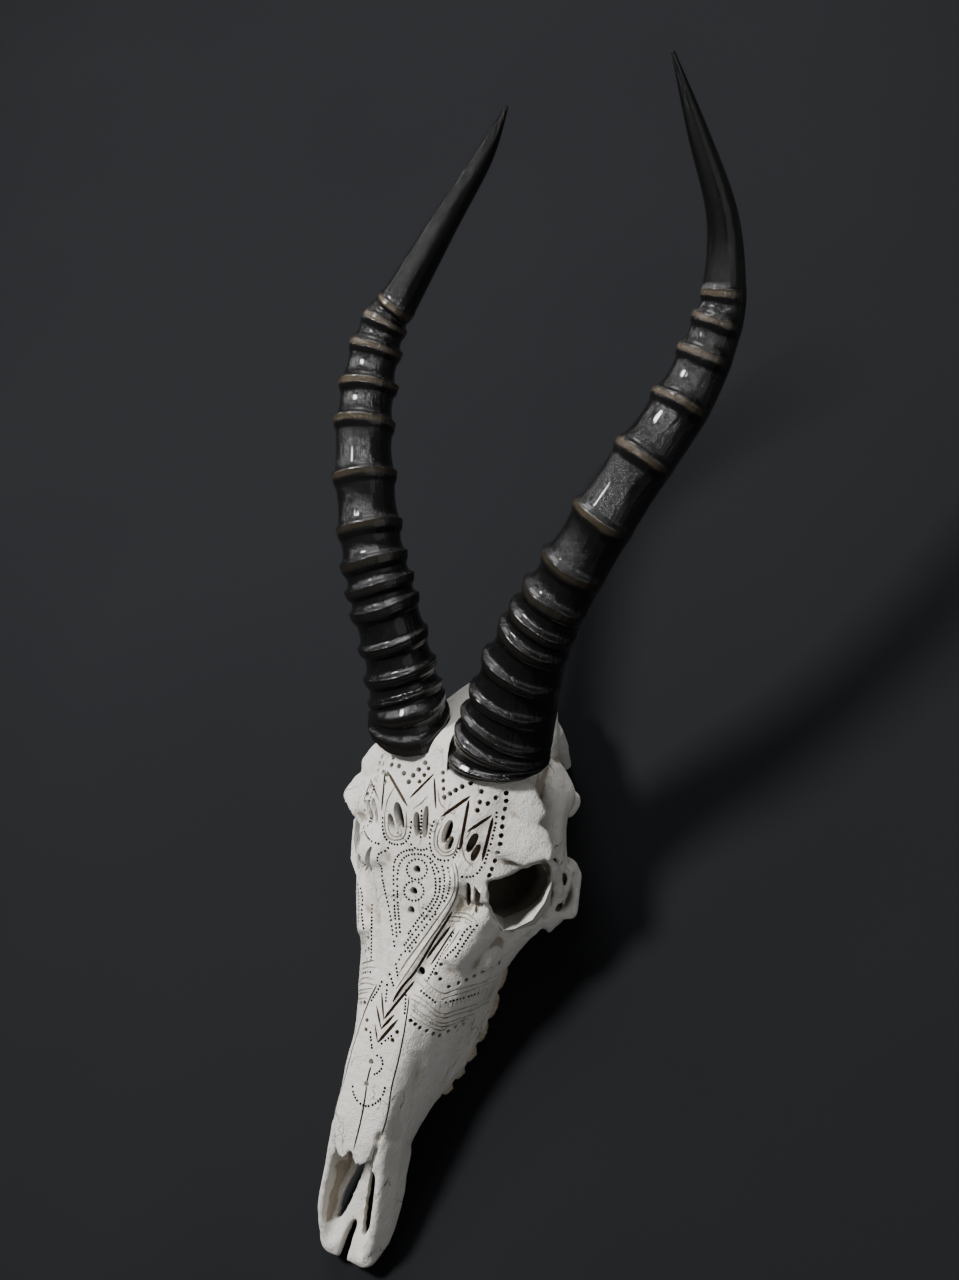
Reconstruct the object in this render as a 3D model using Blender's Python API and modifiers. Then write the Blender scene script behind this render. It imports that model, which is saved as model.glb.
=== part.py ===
"""Carved blesbok skull with its two horns, at life size, lying on its cheek teeth.

Metres, +Z up. The skull's plane of symmetry is x = 0, its nose points towards -Y and its own left
side is at +X. Lengths below are in millimetres in the skull's own frame, whose z = 0 is the plane of
the worn teeth; SHIFT then puts the origin under the middle of the whole object.
"""

import math

import bmesh
import bpy
from mathutils import Matrix, Vector

MM = 0.001
SHIFT = Vector((-12.15, -113.25, 0.0))

# Sizes of the whole
JOINING_VOXEL = 1.9
OPENED_VOXEL = 1.5
JOINED_SMOOTHING = 5
OPENED_SMOOTHING = 2
SKULL_TRIANGLE_SHARE = 0.01657
SOCKET_GAP = 0.35
RING_COUNT = 15
HORN_SIDES = 12

# Half sections of the face and braincase, from the nose back: y, then (half width, height) from the
# middle of the roof, over the shoulder and the side, to the middle of the palate.
FACE_SECTIONS = (
    (-122, (0, 49), (6, 48.5), (12, 46), (16, 37), (17.5, 27), (15.5, 17), (0, 18)),
    (-102, (0, 57), (8, 56.5), (15, 54), (18.5, 43), (19.5, 31), (16, 18), (0, 20)),
    (-79, (0, 62.5), (8, 62), (15.5, 60), (20, 49), (22.5, 33), (19.5, 15), (0, 22)),
    (-56, (0, 68), (9, 67.5), (16, 64), (22.5, 53), (27.5, 36), (26.5, 11), (0, 21)),
    (-35, (0, 71), (11, 70.5), (20, 67.5), (28, 55), (32, 38), (29.5, 9), (0, 21)),
    (-15, (0, 76), (13, 75.5), (25, 71), (33, 57), (35.5, 40), (30, 9), (0, 22)),
    (5, (0, 82.5), (15, 82), (29, 77.5), (38, 62), (38, 42), (29, 11), (0, 23)),
    (20, (0, 89), (16, 89), (31, 84), (38, 66), (37, 46), (27, 16), (0, 25)),
    (40, (0, 99), (17, 99), (31, 94), (34, 78), (30, 50), (23, 26), (0, 28)),
    (60, (0, 108.5), (18, 109), (32, 104), (34, 86), (31, 56), (24, 32), (0, 31)),
    (80, (0, 113), (18, 113), (36, 107), (38, 90), (35, 62), (26, 36), (0, 32)),
    (100, (0, 117), (14, 115), (36, 104), (40, 86), (38, 62), (28, 38), (0, 31)),
    (120, (0, 100), (14, 98), (30, 86), (38, 73), (37, 56), (26, 37), (0, 30)),
    (140, (0, 84), (13, 82), (24, 74), (29, 63), (28, 51), (20, 38), (0, 30)),
    (154, (0, 72), (10, 71), (17, 65), (20, 56), (19, 48), (13, 40), (0, 35)),
)
# The hollow of the nose, in the same form
NOSE_HOLLOW_SECTIONS = (
    (-190, (0, 60), (6, 60), (11, 58), (13, 46), (13, 32), (11.5, 20), (0, 20)),
    (-150, (0, 60), (7, 60), (12, 56), (13.3, 42), (14, 30), (12.5, 16.5), (0, 15.5)),
    (-126, (0, 52), (6, 51), (11, 48), (13, 38), (14, 29), (12, 20.5), (0, 19.6)),
    (-112, (0, 48), (7, 47.5), (11.5, 45), (14.5, 38), (15.5, 30), (12.5, 24), (0, 24.3)),
    (-79, (0, 57.5), (8, 57), (12.5, 54), (16, 46), (18, 34), (15, 26), (0, 27)),
    (-35, (0, 66), (11, 65.5), (17, 62), (23.5, 52), (26, 40), (17, 27), (0, 26)),
    (5, (0, 77.5), (14, 77), (25, 72), (33, 60), (32, 45), (18, 29), (0, 28)),
    (20, (0, 84), (15, 84), (26, 79), (29, 66), (24, 50), (15, 32), (0, 30)),
    (34, (0, 91), (14, 91), (25, 87), (22, 76), (14, 60), (10, 42), (0, 36)),
    (60, (0, 103), (15, 103), (25, 99), (22, 88), (14, 78), (8, 70), (0, 70)),
    (84, (0, 107), (14, 107), (23, 103), (21, 96), (14, 90), (8, 87), (0, 87)),
)

# Orbit
ORBIT_CENTRE = Vector((49.5, 38.0, 62.0))
ORBIT_NORMAL = Vector((0.861, -0.375, 0.344)).normalized()
ORBIT_RIM_RADIUS = 21.5
ORBIT_RIM_THICKNESS = 3.9
EYE_SOCKET_RADIUS = 19.8
SOCKET_WALL = 3.2
# The mouth of the left eye socket, as a funnel: points of its lip, then of its throat
ORBIT_LIP = (
    (43.3, 38.3, 100), (49.6, 41.8, 100), (55.3, 47.8, 98), (61.1, 54.3, 94), (65.6, 59.3, 88),
    (68.5, 56.7, 82), (70.6, 49.1, 80), (69.2, 38.1, 76), (64.1, 27.7, 74), (59.9, 16.1, 76),
    (55.5, 13.4, 80), (50.2, 18.7, 88), (45.3, 29, 96),
)
ORBIT_THROAT = (
    (26.6, 40.7, 62), (32.7, 44.3, 62), (38.7, 50.6, 60), (45.8, 57.2, 58), (51.9, 61.7, 56),
    (54.3, 58.4, 54), (55.1, 51.1, 52), (52.7, 42.3, 50), (47.6, 35, 50), (41.9, 30.5, 50),
    (37.5, 26.4, 52), (33.3, 27.1, 56), (29.3, 33.5, 60),
)
# The thin slanting plate behind the orbit, as points of its outer face
HINGE_PLATE = (
    (53.2, 68.4, 45), (59, 69.7, 42), (65.8, 63.9, 36), (68.1, 52.4, 34), (70.3, 42.4, 33),
    (68.9, 38.9, 34), (57, 32.9, 42),
)
HINGE_PLATE_DEPTH = Vector((-2.1, 1.05, -3.84))

# Pierced slots of the carving on the left side: middle, half length, half width, turn in plan and
# lean to the side. The three large holes stand on the midline.
SLOTS = (
    ((2.6, 56, 107), 7.2, 1.7, -6, 0), ((13.8, 55.5, 107), 8.2, 2.6, -20, 10),
    ((19.8, 50.5, 104), 5.8, 1.9, -14, 10), ((31.0, 54, 100), 6.8, 2.3, -16, 36),
    ((36.4, 50.5, 95), 5.0, 1.8, -12, 36), ((29.5, 27, 93), 5.2, 1.7, 0, 26),
    ((34.6, 29.5, 91), 5.2, 1.7, 0, 26),
)
HOLES = ((0, 32.8, 2.2), (0, 21.8, 2.2), (0, 12.2, 2.2))
SIDE_HOLES = ((13.5, -15.5, 76, 2.2, 20), (27.0, 41.0, 99, 2.6, 26))

# Cheek teeth, front to back: length along the row, then the outer edge's distance from the middle
TEETH = ((10.0, 21.0), (11.0, 24.5), (12.0, 27.5), (14.0, 29.5), (16.0, 30.5), (16.0, 29.5))
TOOTH_ROW_START = -73.0
TOOTH_HEIGHT = 19.0
TOOTH_WIDTH = 12.5
TOOTH_GAP = 0.5

# Horns: the middle of the sheath from its base to its tip, and its half widths at those points
HORN_ROUTES = {
    "left": (
        (26.3, 100, 100), (28.8, 108.5, 107.5), (32.2, 120, 117.2), (38, 139.5, 134.5), (47.5, 160, 151.5),
        (60.5, 185, 168), (79, 226, 185), (99.5, 275.5, 197), (107.5, 310, 209), (108, 328, 219),
        (103, 352.5, 237), (90, 376.5, 263.5), (78, 398, 291),
    ),
    "right": (
        (-31, 108, 107.2), (-32.6, 114, 111.6), (-35, 121.7, 117.8), (-40, 138.5, 133), (-48, 159, 151),
        (-58.5, 184, 166), (-73, 225, 181), (-81, 262, 190.5), (-80, 292, 199), (-72, 307.5, 204.5),
        (-52, 342, 222.5), (-32, 371.5, 240.5), (-19, 390, 257),
    ),
}
HORN_RADII = (26.0, 25.4, 24.2, 21.6, 18.6, 16.6, 15.6, 14.2, 12.2, 10.0, 7.4, 4.9, 0.9)
HORN_FLATNESS = (0.78, 0.78, 0.79, 0.83, 0.94, 1.0, 1.0, 1.0, 1.0, 1.0, 1.0, 1.0, 1.0)
HORN_OVAL_TURN = math.radians(-50)
HORN_RING_REACH = 0.745
RING_LIP = 1.6
RING_HOLLOW = 1.0
HORN_BASE_NORMALS = {"left": Vector((0.0, 0.68, 0.73)), "right": Vector((-0.01, 0.444, 0.896))}
SHEATH_WALL = 3.4
CAVITY_REACH = 0.46
CORE_REACH = 0.1

BONE = (0.76, 0.72, 0.65, 1.0)
HORN_BLACK = (0.012, 0.011, 0.01, 1.0)
ENAMEL = (0.70, 0.64, 0.52, 1.0)


def clear_scene():
    for old in list(bpy.data.objects):
        bpy.data.objects.remove(old, do_unlink=True)


def make_collection(name):
    made = bpy.data.collections.new(name)
    bpy.context.scene.collection.children.link(made)
    return made


def make_material(name, colour, roughness):
    made = bpy.data.materials.new(name)
    made.use_nodes = True
    shader = made.node_tree.nodes["Principled BSDF"]
    shader.inputs["Base Color"].default_value = colour
    shader.inputs["Roughness"].default_value = roughness
    shader.inputs["Metallic"].default_value = 0.0
    return made


def cubic(before, start, end, after, share):
    """A point between start and end on the smooth curve through all four."""
    return 0.5 * (
        2 * start
        + (end - before) * share
        + (2 * before - 5 * start + 4 * end - after) * share**2
        + (3 * start - before - 3 * end + after) * share**3
    )


def along(values, position):
    """The value at a position from 0 to 1 on the smooth curve through evenly counted values."""
    last = len(values) - 1
    place = min(max(position, 0.0), 1.0) * last
    index = min(int(place), last - 1)
    before = values[max(index - 1, 0)]
    after = values[min(index + 2, last)]
    return cubic(before, values[index], values[index + 1], after, place - index)


def closed_skin(name, rings):
    """A closed body through rings of equally many points, its two ends filled."""
    mesh = bpy.data.meshes.new(name)
    build = bmesh.new()
    rows = [[build.verts.new(Vector(point) * MM) for point in ring] for ring in rings]
    count = len(rows[0])
    for low, high in zip(rows, rows[1:]):
        for i in range(count):
            j = (i + 1) % count
            build.faces.new((low[i], low[j], high[j], high[i]))
    build.faces.new(list(reversed(rows[0])))
    build.faces.new(rows[-1])
    bmesh.ops.recalc_face_normals(build, faces=build.faces)
    build.to_mesh(mesh)
    build.free()
    return mesh


def face_ring(half, y):
    """One full ring of a face section, from the middle of the roof round by the left side."""
    left = [Vector((x, y, z)) for x, z in half]
    full = left + [Vector((-p.x, p.y, p.z)) for p in reversed(left[1:-1])]
    count = len(full)
    ring = []
    for i in range(count):
        for share in (0.0, 1 / 3, 2 / 3):
            ring.append(cubic(full[i - 1], full[i], full[(i + 1) % count], full[(i + 2) % count], share))
    return ring


def face_skin(name, sections, steps=56):
    ys = [section[0] for section in sections]
    halves = [[Vector((p[0], p[1])) for p in section[1:]] for section in sections]
    rings = []
    for step in range(steps + 1):
        position = step / steps
        half = [along([h[i] for h in halves], position) for i in range(len(halves[0]))]
        rings.append(face_ring([(p.x, p.y) for p in half], along(ys, position)))
    return closed_skin(name, rings)


def swept(name, route, sizes, sides=16, steps=24, up=(0, 0, 1)):
    """A tube through the route's points. Each size is its half width and half height."""
    route = [Vector(p) for p in route]
    sizes = [Vector(s) for s in sizes]
    rings = []
    for step in range(steps + 1):
        position = step / steps
        middle = along(route, position)
        tangent = along(route, min(position + 0.01, 1.0)) - along(route, max(position - 0.01, 0.0))
        tangent.normalize()
        side = tangent.cross(Vector(up)).normalized()
        rise = side.cross(tangent).normalized()
        size = along(sizes, position)
        ring = []
        for i in range(sides):
            turn = 2 * math.pi * i / sides
            ring.append(middle + side * size.x * math.cos(turn) + rise * size.y * math.sin(turn))
        rings.append(ring)
    return closed_skin(name, rings)


def ellipsoid(name, middle, radii, turn=None):
    mesh = bpy.data.meshes.new(name)
    build = bmesh.new()
    bmesh.ops.create_uvsphere(build, u_segments=28, v_segments=16, radius=1.0)
    scale = Matrix.Diagonal((radii[0] * MM, radii[1] * MM, radii[2] * MM, 1.0))
    turned = turn.to_matrix().to_4x4() if turn else Matrix.Identity(4)
    build.transform(Matrix.Translation(Vector(middle) * MM) @ turned @ scale)
    build.to_mesh(mesh)
    build.free()
    return mesh


def rim_points(radius, count=24):
    """Points round the left orbit's rim, in the plane of its opening."""
    side = ORBIT_NORMAL.cross(Vector((0, 0, 1))).normalized()
    rise = side.cross(ORBIT_NORMAL)
    turns = [2 * math.pi * i / count for i in range(count)]
    return [ORBIT_CENTRE + side * radius * math.cos(t) + rise * radius * math.sin(t) for t in turns]


def orbit_rim(name):
    """The thick ring of bone round the orbit, a closed torus."""
    mesh = bpy.data.meshes.new(name)
    build = bmesh.new()
    spine = rim_points(ORBIT_RIM_RADIUS, count=36)
    sides = 10
    rows = []
    for point in spine:
        outward = (point - ORBIT_CENTRE).normalized()
        row = []
        for i in range(sides):
            turn = 2 * math.pi * i / sides
            offset = outward * math.cos(turn) + ORBIT_NORMAL * math.sin(turn)
            row.append(build.verts.new((point + offset * ORBIT_RIM_THICKNESS) * MM))
        rows.append(row)
    for i, row in enumerate(rows):
        after = rows[(i + 1) % len(rows)]
        for k in range(sides):
            n = (k + 1) % sides
            build.faces.new((row[k], row[n], after[n], after[k]))
    bmesh.ops.recalc_face_normals(build, faces=build.faces)
    build.to_mesh(mesh)
    build.free()
    return mesh


def side_bones():
    """The bones of the left side that stand out from the face and the braincase, as closed bodies."""
    centre = ORBIT_CENTRE
    bones = [orbit_rim("orbit rim")]
    bones.append(swept(
        "brow", ((22, 46, 96), (34, 44, 90), (43, 44, 84), (50, 46, 79)),
        ((17, 7), (18, 6.5), (16, 5), (13, 4))))
    bones.append(swept(
        "brow front", ((25, 12, 75.5), (31, 20, 76.5), (38, 27, 77)), ((12, 6.5), (11, 6.5), (8, 5))))
    bones.append(swept(
        "tear bone", ((25, -6, 66), (33, 11, 66), (41, 23, 62)), ((8, 13), (8, 14), (5, 12))))
    bones.append(swept(
        "cheek root", ((29, -18, 40), (36, 4, 44), (44, 18, 46), (54, 34, 45)),
        ((7, 17), (8, 15), (6.5, 12), (4.5, 7))))
    bones.append(swept(
        "socket back", ((30, 62, 80), (40, 60, 66), (52, 60, 54)), ((5, 18), (5, 15), (4, 8))))
    bones.append(swept(
        "post bar", ((30, 74, 102), (41, 68, 92), (52, 60, 80), (58, 57, 65), (57.5, 56, 50)),
        ((8, 7), (8, 5.5), (7.5, 5.5), (6.5, 4.5), (6, 4))))
    bones.append(swept(
        "cheek plate", ((58, 30, 40), (61.5, 45, 34), (62.5, 57, 36), (61, 66, 43)),
        ((2.4, 7), (2.2, 11), (2.2, 10), (2.2, 7))))
    inner_face = [Vector(point) + HINGE_PLATE_DEPTH for point in HINGE_PLATE]
    bones.append(closed_skin("hinge plate", (HINGE_PLATE, inner_face)))
    bones.append(swept(
        "temple", ((40, 58, 66), (49, 69, 58), (47, 84, 58), (45, 98, 60), (38, 112, 62)),
        ((8, 7), (8, 6), (8.5, 7), (7.5, 9), (6, 9))))
    bones.append(swept(
        "brow wing", ((28, 68, 102), (42, 66, 95), (52, 64, 89), (60, 62.5, 83.5), (65.5, 62.5, 81)),
        ((13, 4.5), (13, 4.5), (11, 4.5), (8.5, 4), (4.5, 3))))
    bones.append(swept(
        "brow slope", ((26, 87, 106), (40, 85, 99), (49, 81, 93), (56, 74, 87)),
        ((14, 5), (12, 5), (9.5, 4.5), (7, 4))))
    bones.append(socket_cup())
    bones.append(swept(
        "cheek arch", ((59, 60, 47), (54.5, 75, 51), (50, 89, 54), (47, 101, 55), (34, 112, 56)),
        ((2.8, 6.5), (2.8, 5), (4, 5.5), (7, 8.5), (7, 9))))
    bones.append(swept(
        "jaw seat", ((36, 100, 40), (46, 98, 43), (53, 97, 46)), ((8, 5), (9, 4.5), (7, 4))))
    bones.append(ellipsoid("ear bulla", (19, 110, 25), (8, 12, 11)))
    bones.append(swept(
        "neck process", ((22, 134, 46), (22, 131, 30), (21, 128, 14), (20, 126, 1.2)),
        ((9, 8), (7, 6), (5.5, 4.5), (3.4, 3)), up=(0, 1, 0)))
    bones.append(ellipsoid("condyle", (10.5, 153, 44), (8, 10, 12)))
    bones.append(swept(
        "wing of the throat", ((14, 30, 26), (15, 44, 20), (16, 62, 20), (17, 84, 27)),
        ((2.2, 7), (2.0, 12), (2.0, 12), (3, 7))))
    bones.append(swept(
        "tooth ridge", ((17, -76, 17), (21, -56, 14), (23.5, -30, 13), (23.5, 6, 14), (21, 18, 19)),
        ((4, 6), (7, 7), (8, 7.5), (8, 7.5), (4, 6))))
    bones.append(nose_side())
    bones.append(nose_floor())
    bones.append(ellipsoid("nose tip", (11, -160.5, 12.4), (8.6, 12, 5.6)))
    return bones


def socket_cup():
    """Half a ball of bone behind the orbit, which the eye socket then hollows to a cup."""
    middle = ORBIT_CENTRE - ORBIT_NORMAL * 9.5
    side = ORBIT_NORMAL.cross(Vector((0, 0, 1))).normalized()
    rise = side.cross(ORBIT_NORMAL)
    radius = EYE_SOCKET_RADIUS + SOCKET_WALL
    rings = []
    for degrees in (70, 90, 110, 130, 150, 170):
        turn = math.radians(degrees)
        flat = [(side * math.cos(a) + rise * math.sin(a)) * radius * math.sin(turn)
                for a in (2 * math.pi * i / 28 for i in range(28))]
        rings.append([middle + ORBIT_NORMAL * radius * math.cos(turn) + point for point in flat])
    return closed_skin("socket cup", rings)


def nose_side():
    """The upright plate of the left premaxilla, from the maxilla forward and down to its tip."""
    keys = (
        (-104, 17.0, 50, 18.5, 19), (-120, 16.8, 43.5, 19.8, 15), (-132, 17.3, 38, 21.0, 12.5),
        (-147, 18.0, 31, 21.2, 10), (-158, 16.8, 24, 19.4, 8.4), (-167, 13.2, 17, 14.6, 8.6),
    )
    rings = []
    steps = 20
    for step in range(steps + 1):
        y, top_x, top_z, low_x, low_z = along([Vector(k) for k in keys], step / steps)
        thick = 2.3 - 0.3 * step / steps
        middle = ((top_x + low_x) / 2, (top_z + low_z) / 2)
        rings.append([
            (top_x - thick, y, top_z), (top_x, y, top_z + 0.9), (top_x + 1.4, y, top_z - 1.6),
            (middle[0] + 2.6, y, middle[1] + 1), (low_x + 1.5, y, low_z + 3), (low_x, y, low_z),
            (low_x - 2.6 * thick, y, low_z), (low_x - 2.6 * thick, y, low_z + 4),
            (middle[0] - 1.6 * thick, y, middle[1]), (top_x - 1.6 * thick, y, top_z - 2),
        ])
    return closed_skin("nose side", rings)


def nose_floor():
    """The flat palate part of the left premaxilla with its rounded front end."""
    keys = (
        (-108, 17, 19, 24.5), (-122, 18.5, 15.5, 20.5), (-136, 19.8, 12, 17), (-149, 20.4, 9.5, 14.5),
        (-159, 19.6, 8, 13.4), (-167, 16.6, 7.6, 12.6), (-172.4, 10.0, 8.2, 11.6),
    )
    rings = []
    steps = 24
    for step in range(steps + 1):
        y, wide, low, high = along([Vector(k) for k in keys], step / steps)
        inner = 0.1
        rings.append([
            (inner, y, low + 0.6), (inner, y, high), (wide - 2, y, high + 0.6), (wide, y, high - 1),
            (wide, y, low + 1.4), (wide - 2, y, low), (inner + 2.4, y, low),
        ])
    return closed_skin("nose floor", rings)


def mirrored(mesh):
    other = mesh.copy()
    other.transform(Matrix.Scale(-1, 4, Vector((1, 0, 0))))
    other.flip_normals()
    return other


def horn_frame(side, share):
    """The sheath's middle, its tangent and the normal of its ring plane at a share of its length."""
    route = [Vector(p) for p in HORN_ROUTES[side]]
    outward = 1.0 if side == "left" else -1.0
    tangent = (along(route, min(share + 0.01, 1.0)) - along(route, max(share - 0.01, 0.0))).normalized()
    base_normal = HORN_BASE_NORMALS[side]
    lean = max(0.0, 1.0 - share / 0.12)
    normal = tangent + Vector((0.3 * outward, 0, 0)) * max(0.0, 1.0 - share / 0.5)
    normal = normal.normalized().lerp(base_normal.normalized(), lean).normalized()
    return along(route, share), tangent, normal


def horn_ring(side, share, grow, sides, ring_height=0.0):
    """Points of one ring of the sheath in its leaning plane. Rings fade on the outer rear side."""
    middle, tangent, normal = horn_frame(side, share)
    outward = 1.0 if side == "left" else -1.0
    across = tangent.cross(Vector((0, 0, 1))).normalized() * outward
    across = across if across.x * outward > 0 else -across
    rise = across.cross(tangent).normalized()
    rise = rise if rise.z > 0 else -rise
    long_way = across * math.cos(HORN_OVAL_TURN) + rise * math.sin(HORN_OVAL_TURN)
    short_way = rise * math.cos(HORN_OVAL_TURN) - across * math.sin(HORN_OVAL_TURN)
    radius = along(HORN_RADII, share)
    flatness = along(HORN_FLATNESS, share)
    front = Vector((-0.55 * outward, -0.5, 0.67))
    ring = []
    for i in range(sides):
        turn = 2 * math.pi * i / sides
        way = long_way * math.cos(turn) + short_way * math.sin(turn)
        facing = min(max((way.dot(front) + 0.75) / 0.9, 0.12), 1.0)
        lift = grow + ring_height * facing
        offset = long_way * (radius + lift) * math.cos(turn)
        offset += short_way * (radius * flatness + lift) * math.sin(turn)
        offset -= tangent * (offset.dot(normal) / tangent.dot(normal))
        ring.append(middle + offset)
    return ring


def ring_places():
    """Shares of the sheath's length at which its rings stand, crowded towards the base."""
    last = RING_COUNT - 1
    counted = [i + 0.1 * i * i for i in range(RING_COUNT)]
    return [0.03 + (HORN_RING_REACH - 0.03) * place / counted[last] for place in counted]


def horn_sheath(side):
    """The ringed black sheath, a closed body without its hollow."""
    rings = [horn_ring(side, 0.0, 0.0, HORN_SIDES)]
    places = ring_places()
    for place, after in zip(places, places[1:] + [places[-1] + 0.05]):
        gap = after - place
        rings.append(horn_ring(side, place - 0.2 * gap, -0.2, HORN_SIDES))
        rings.append(horn_ring(side, place, 0.0, HORN_SIDES, RING_LIP))
        rings.append(horn_ring(side, place + 0.2 * gap, 0.0, HORN_SIDES, 0.4))
        rings.append(horn_ring(side, place + 0.5 * gap, 0.0, HORN_SIDES, -RING_HOLLOW))
    for share in (0.83, 0.88, 0.93, 0.97, 0.99, 1.0):
        rings.append(horn_ring(side, share, 0.0, HORN_SIDES))
    return closed_skin("horn_" + side, rings)


def horn_inside(side, name, first, reach, grow, end_share):
    """A plain body inside the sheath: its hollow, or the bony core that fills part of it."""
    shares = [first + (reach - first) * i / 8 for i in range(9)]
    rings = []
    for i, share in enumerate(shares):
        narrowing = grow - (1 - end_share) * along(HORN_RADII, share) * (i / 8) ** 3
        rings.append(horn_ring(side, max(share, 0.0), narrowing, HORN_SIDES))
    if first < 0:
        start = Vector(HORN_ROUTES[side][0])
        tangent = horn_frame(side, 0.0)[1]
        rings[0] = [point + tangent * first * 385 for point in rings[0]]
    return closed_skin(name, rings)


def horn_clearance(side):
    """The sheath's lower end with room round it, to be cut out of the bone."""
    tangent = horn_frame(side, 0.0)[1]
    room = RING_LIP + 0.9
    rings = [[point - tangent * 0.6 for point in horn_ring(side, 0.0, room, HORN_SIDES)]]
    rings += [horn_ring(side, share, room, HORN_SIDES) for share in (0.03, 0.08, 0.13, 0.2)]
    return closed_skin("sheath room " + side, rings)


def slot(name, middle, half_length, half_width, turn, lean):
    """A straight slot with round ends that goes through the bone along its own leaning axis."""
    outline = []
    for end, start in ((1, 0), (-1, 180)):
        for step in range(5):
            angle = math.radians(start + 45 * step)
            x = half_width * math.cos(angle)
            y = end * (half_length - half_width) + half_width * math.sin(angle)
            outline.append(Vector((x, y, 0)))
    pose = Matrix.Translation(Vector(middle)) @ Matrix.Rotation(math.radians(lean), 4, "Y")
    pose = pose @ Matrix.Rotation(math.radians(turn), 4, "Z")
    rings = [[pose @ (point + Vector((0, 0, height))) for point in outline] for height in (-11, 12)]
    return closed_skin(name, rings)


def slot_cutters():
    cutters = [slot("slot", *values) for values in SLOTS]
    for x, y, z, radius, lean in SIDE_HOLES:
        cutters.append(slot("side hole", (x, y, z), radius + 0.3, radius, 0, lean))
    cutters += [mirrored(mesh) for mesh in cutters]
    for x, y, radius in HOLES:
        cutters.append(slot("hole", (x, y, 92), radius + 0.3, radius, 0, 0))
    return cutters


def tooth_rings(index, side, grow):
    """Outlines of a cheek tooth from its worn face up to its root. Each molar has two lobes."""
    start = TOOTH_ROW_START + sum(length for length, _ in TEETH[:index])
    length, outer = TEETH[index]
    inner = outer - TOOTH_WIDTH
    low = start + TOOTH_GAP / 2 - grow
    high = start + length - TOOTH_GAP / 2 + grow
    rings = []
    for z, spread in ((0.0 - grow * 20, -0.5), (2.5, 0.6), (8.0, 0.0), (TOOTH_HEIGHT + grow, -0.8)):
        out = outer + spread + grow
        inn = inner - spread - grow
        shape = (
            (out - 1.4, 0.0), (out + 0.3, 0.12), (out - 1.2, 0.36), (out + 0.1, 0.6), (out - 0.6, 0.86),
            (out - 1.6, 1.0), (inn + 1.6, 1.0), (inn, 0.75), (inn + 1.2, 0.5), (inn, 0.25), (inn + 1.6, 0.0),
        )
        rings.append([(x * side, low + (high - low) * share, z) for x, share in shape])
    return rings


def eye_sockets():
    middle = ORBIT_CENTRE - ORBIT_NORMAL * 9.5
    left = ellipsoid("eye socket", middle, (EYE_SOCKET_RADIUS,) * 3)
    return [left, mirrored(left)]


def tooth_trough(side):
    """The long socket that holds one row of cheek teeth with a little room round each."""
    rings = []
    y = TOOTH_ROW_START
    outers = [outer for _, outer in TEETH]
    for index in range(len(TEETH) + 1):
        near = outers[max(index - 1, 0):index + 1] or outers[:1]
        out = max(near) + 1.3
        inn = min(near) - TOOTH_WIDTH - 0.8
        place = y + (-0.4 if index == 0 else 0.4 if index == len(TEETH) else 0.0)
        rings.append([(x * side, place, z) for x, z in (
            (out, -6), (out, TOOTH_HEIGHT), (out - 1, TOOTH_HEIGHT + SOCKET_GAP + 0.2),
            (inn + 1, TOOTH_HEIGHT + SOCKET_GAP + 0.2), (inn, TOOTH_HEIGHT), (inn, -6))])
        if index < len(TEETH):
            y += TEETH[index][0]
    return closed_skin("tooth trough", rings)


def hollows():
    """The natural openings of the skull, in the order in which they are cut."""
    slits = [
        swept("palate slit", ((4.0, -111, 22), (3.8, -121, 18), (4.4, -132, 15), (5.6, -143, 12), (6.6, -156, 11)),
              ((0.9, 9), (2.9, 9), (3.5, 9), (3.1, 9), (1.2, 8)), sides=12, steps=10),
        swept("palate slit", ((-5.6, -115, 21), (-7.0, -125, 17), (-8.8, -134, 14), (-10.4, -143, 12),
                              (-11.2, -153, 11)),
              ((0.9, 9), (2.3, 9), (3.1, 9), (3.3, 9), (1.4, 8)), sides=12, steps=10),
    ]
    notch = swept("front notch", ((-1.2, -150, 12), (-2, -158, 11), (-2, -179, 10)), ((1.1, 9), (2.6, 9), (2.4, 9)),
                  sides=10, steps=6)
    brain = ellipsoid("brain hollow", (0, 108, 64), (31, 34, 25))
    rear = swept("rear opening", ((0, 130, 58), (0, 150, 54), (0, 176, 48)), ((9, 8), (8.5, 8), (9, 8)),
                 sides=12, steps=4)
    throat = swept("throat", ((0, 16, 38), (0, 34, 27), (0, 44, 19), (0, 54, 6)),
                   ((11, 8), (11.5, 9), (11, 10), (11, 12)), sides=12, steps=8)
    nose = face_skin("nose hollow", NOSE_HOLLOW_SECTIONS, 20)
    mouth = closed_skin("orbit mouth", (ORBIT_LIP, ORBIT_THROAT))
    return [
        ("nose hollow", [nose]), ("palate slits", slits), ("front notch", [notch]),
        ("brain hollow", [brain]), ("rear opening", [rear]), ("throat", [throat]),
        ("eye sockets", eye_sockets()), ("orbit mouths", [mouth, mirrored(mouth)]),
    ]


def joined(name, meshes, collection, material=None):
    """One object from several closed bodies, moved to the shared frame."""
    build = bmesh.new()
    for mesh in meshes:
        build.from_mesh(mesh)
    bmesh.ops.recalc_face_normals(build, faces=build.faces)
    whole = bpy.data.meshes.new(name)
    build.to_mesh(whole)
    build.free()
    whole.transform(Matrix.Translation(SHIFT * MM))
    made = bpy.data.objects.new(name, whole)
    collection.objects.link(made)
    if material:
        made.data.materials.append(material)
    return made


def cut(target, name, meshes, cutters, operation="DIFFERENCE"):
    cutter = joined(name, meshes, cutters)
    cutter.hide_render = True
    cutter.display_type = "WIRE"
    change = target.modifiers.new(name, "BOOLEAN")
    change.operation = operation
    change.solver = "MANIFOLD"
    change.object = cutter


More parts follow.
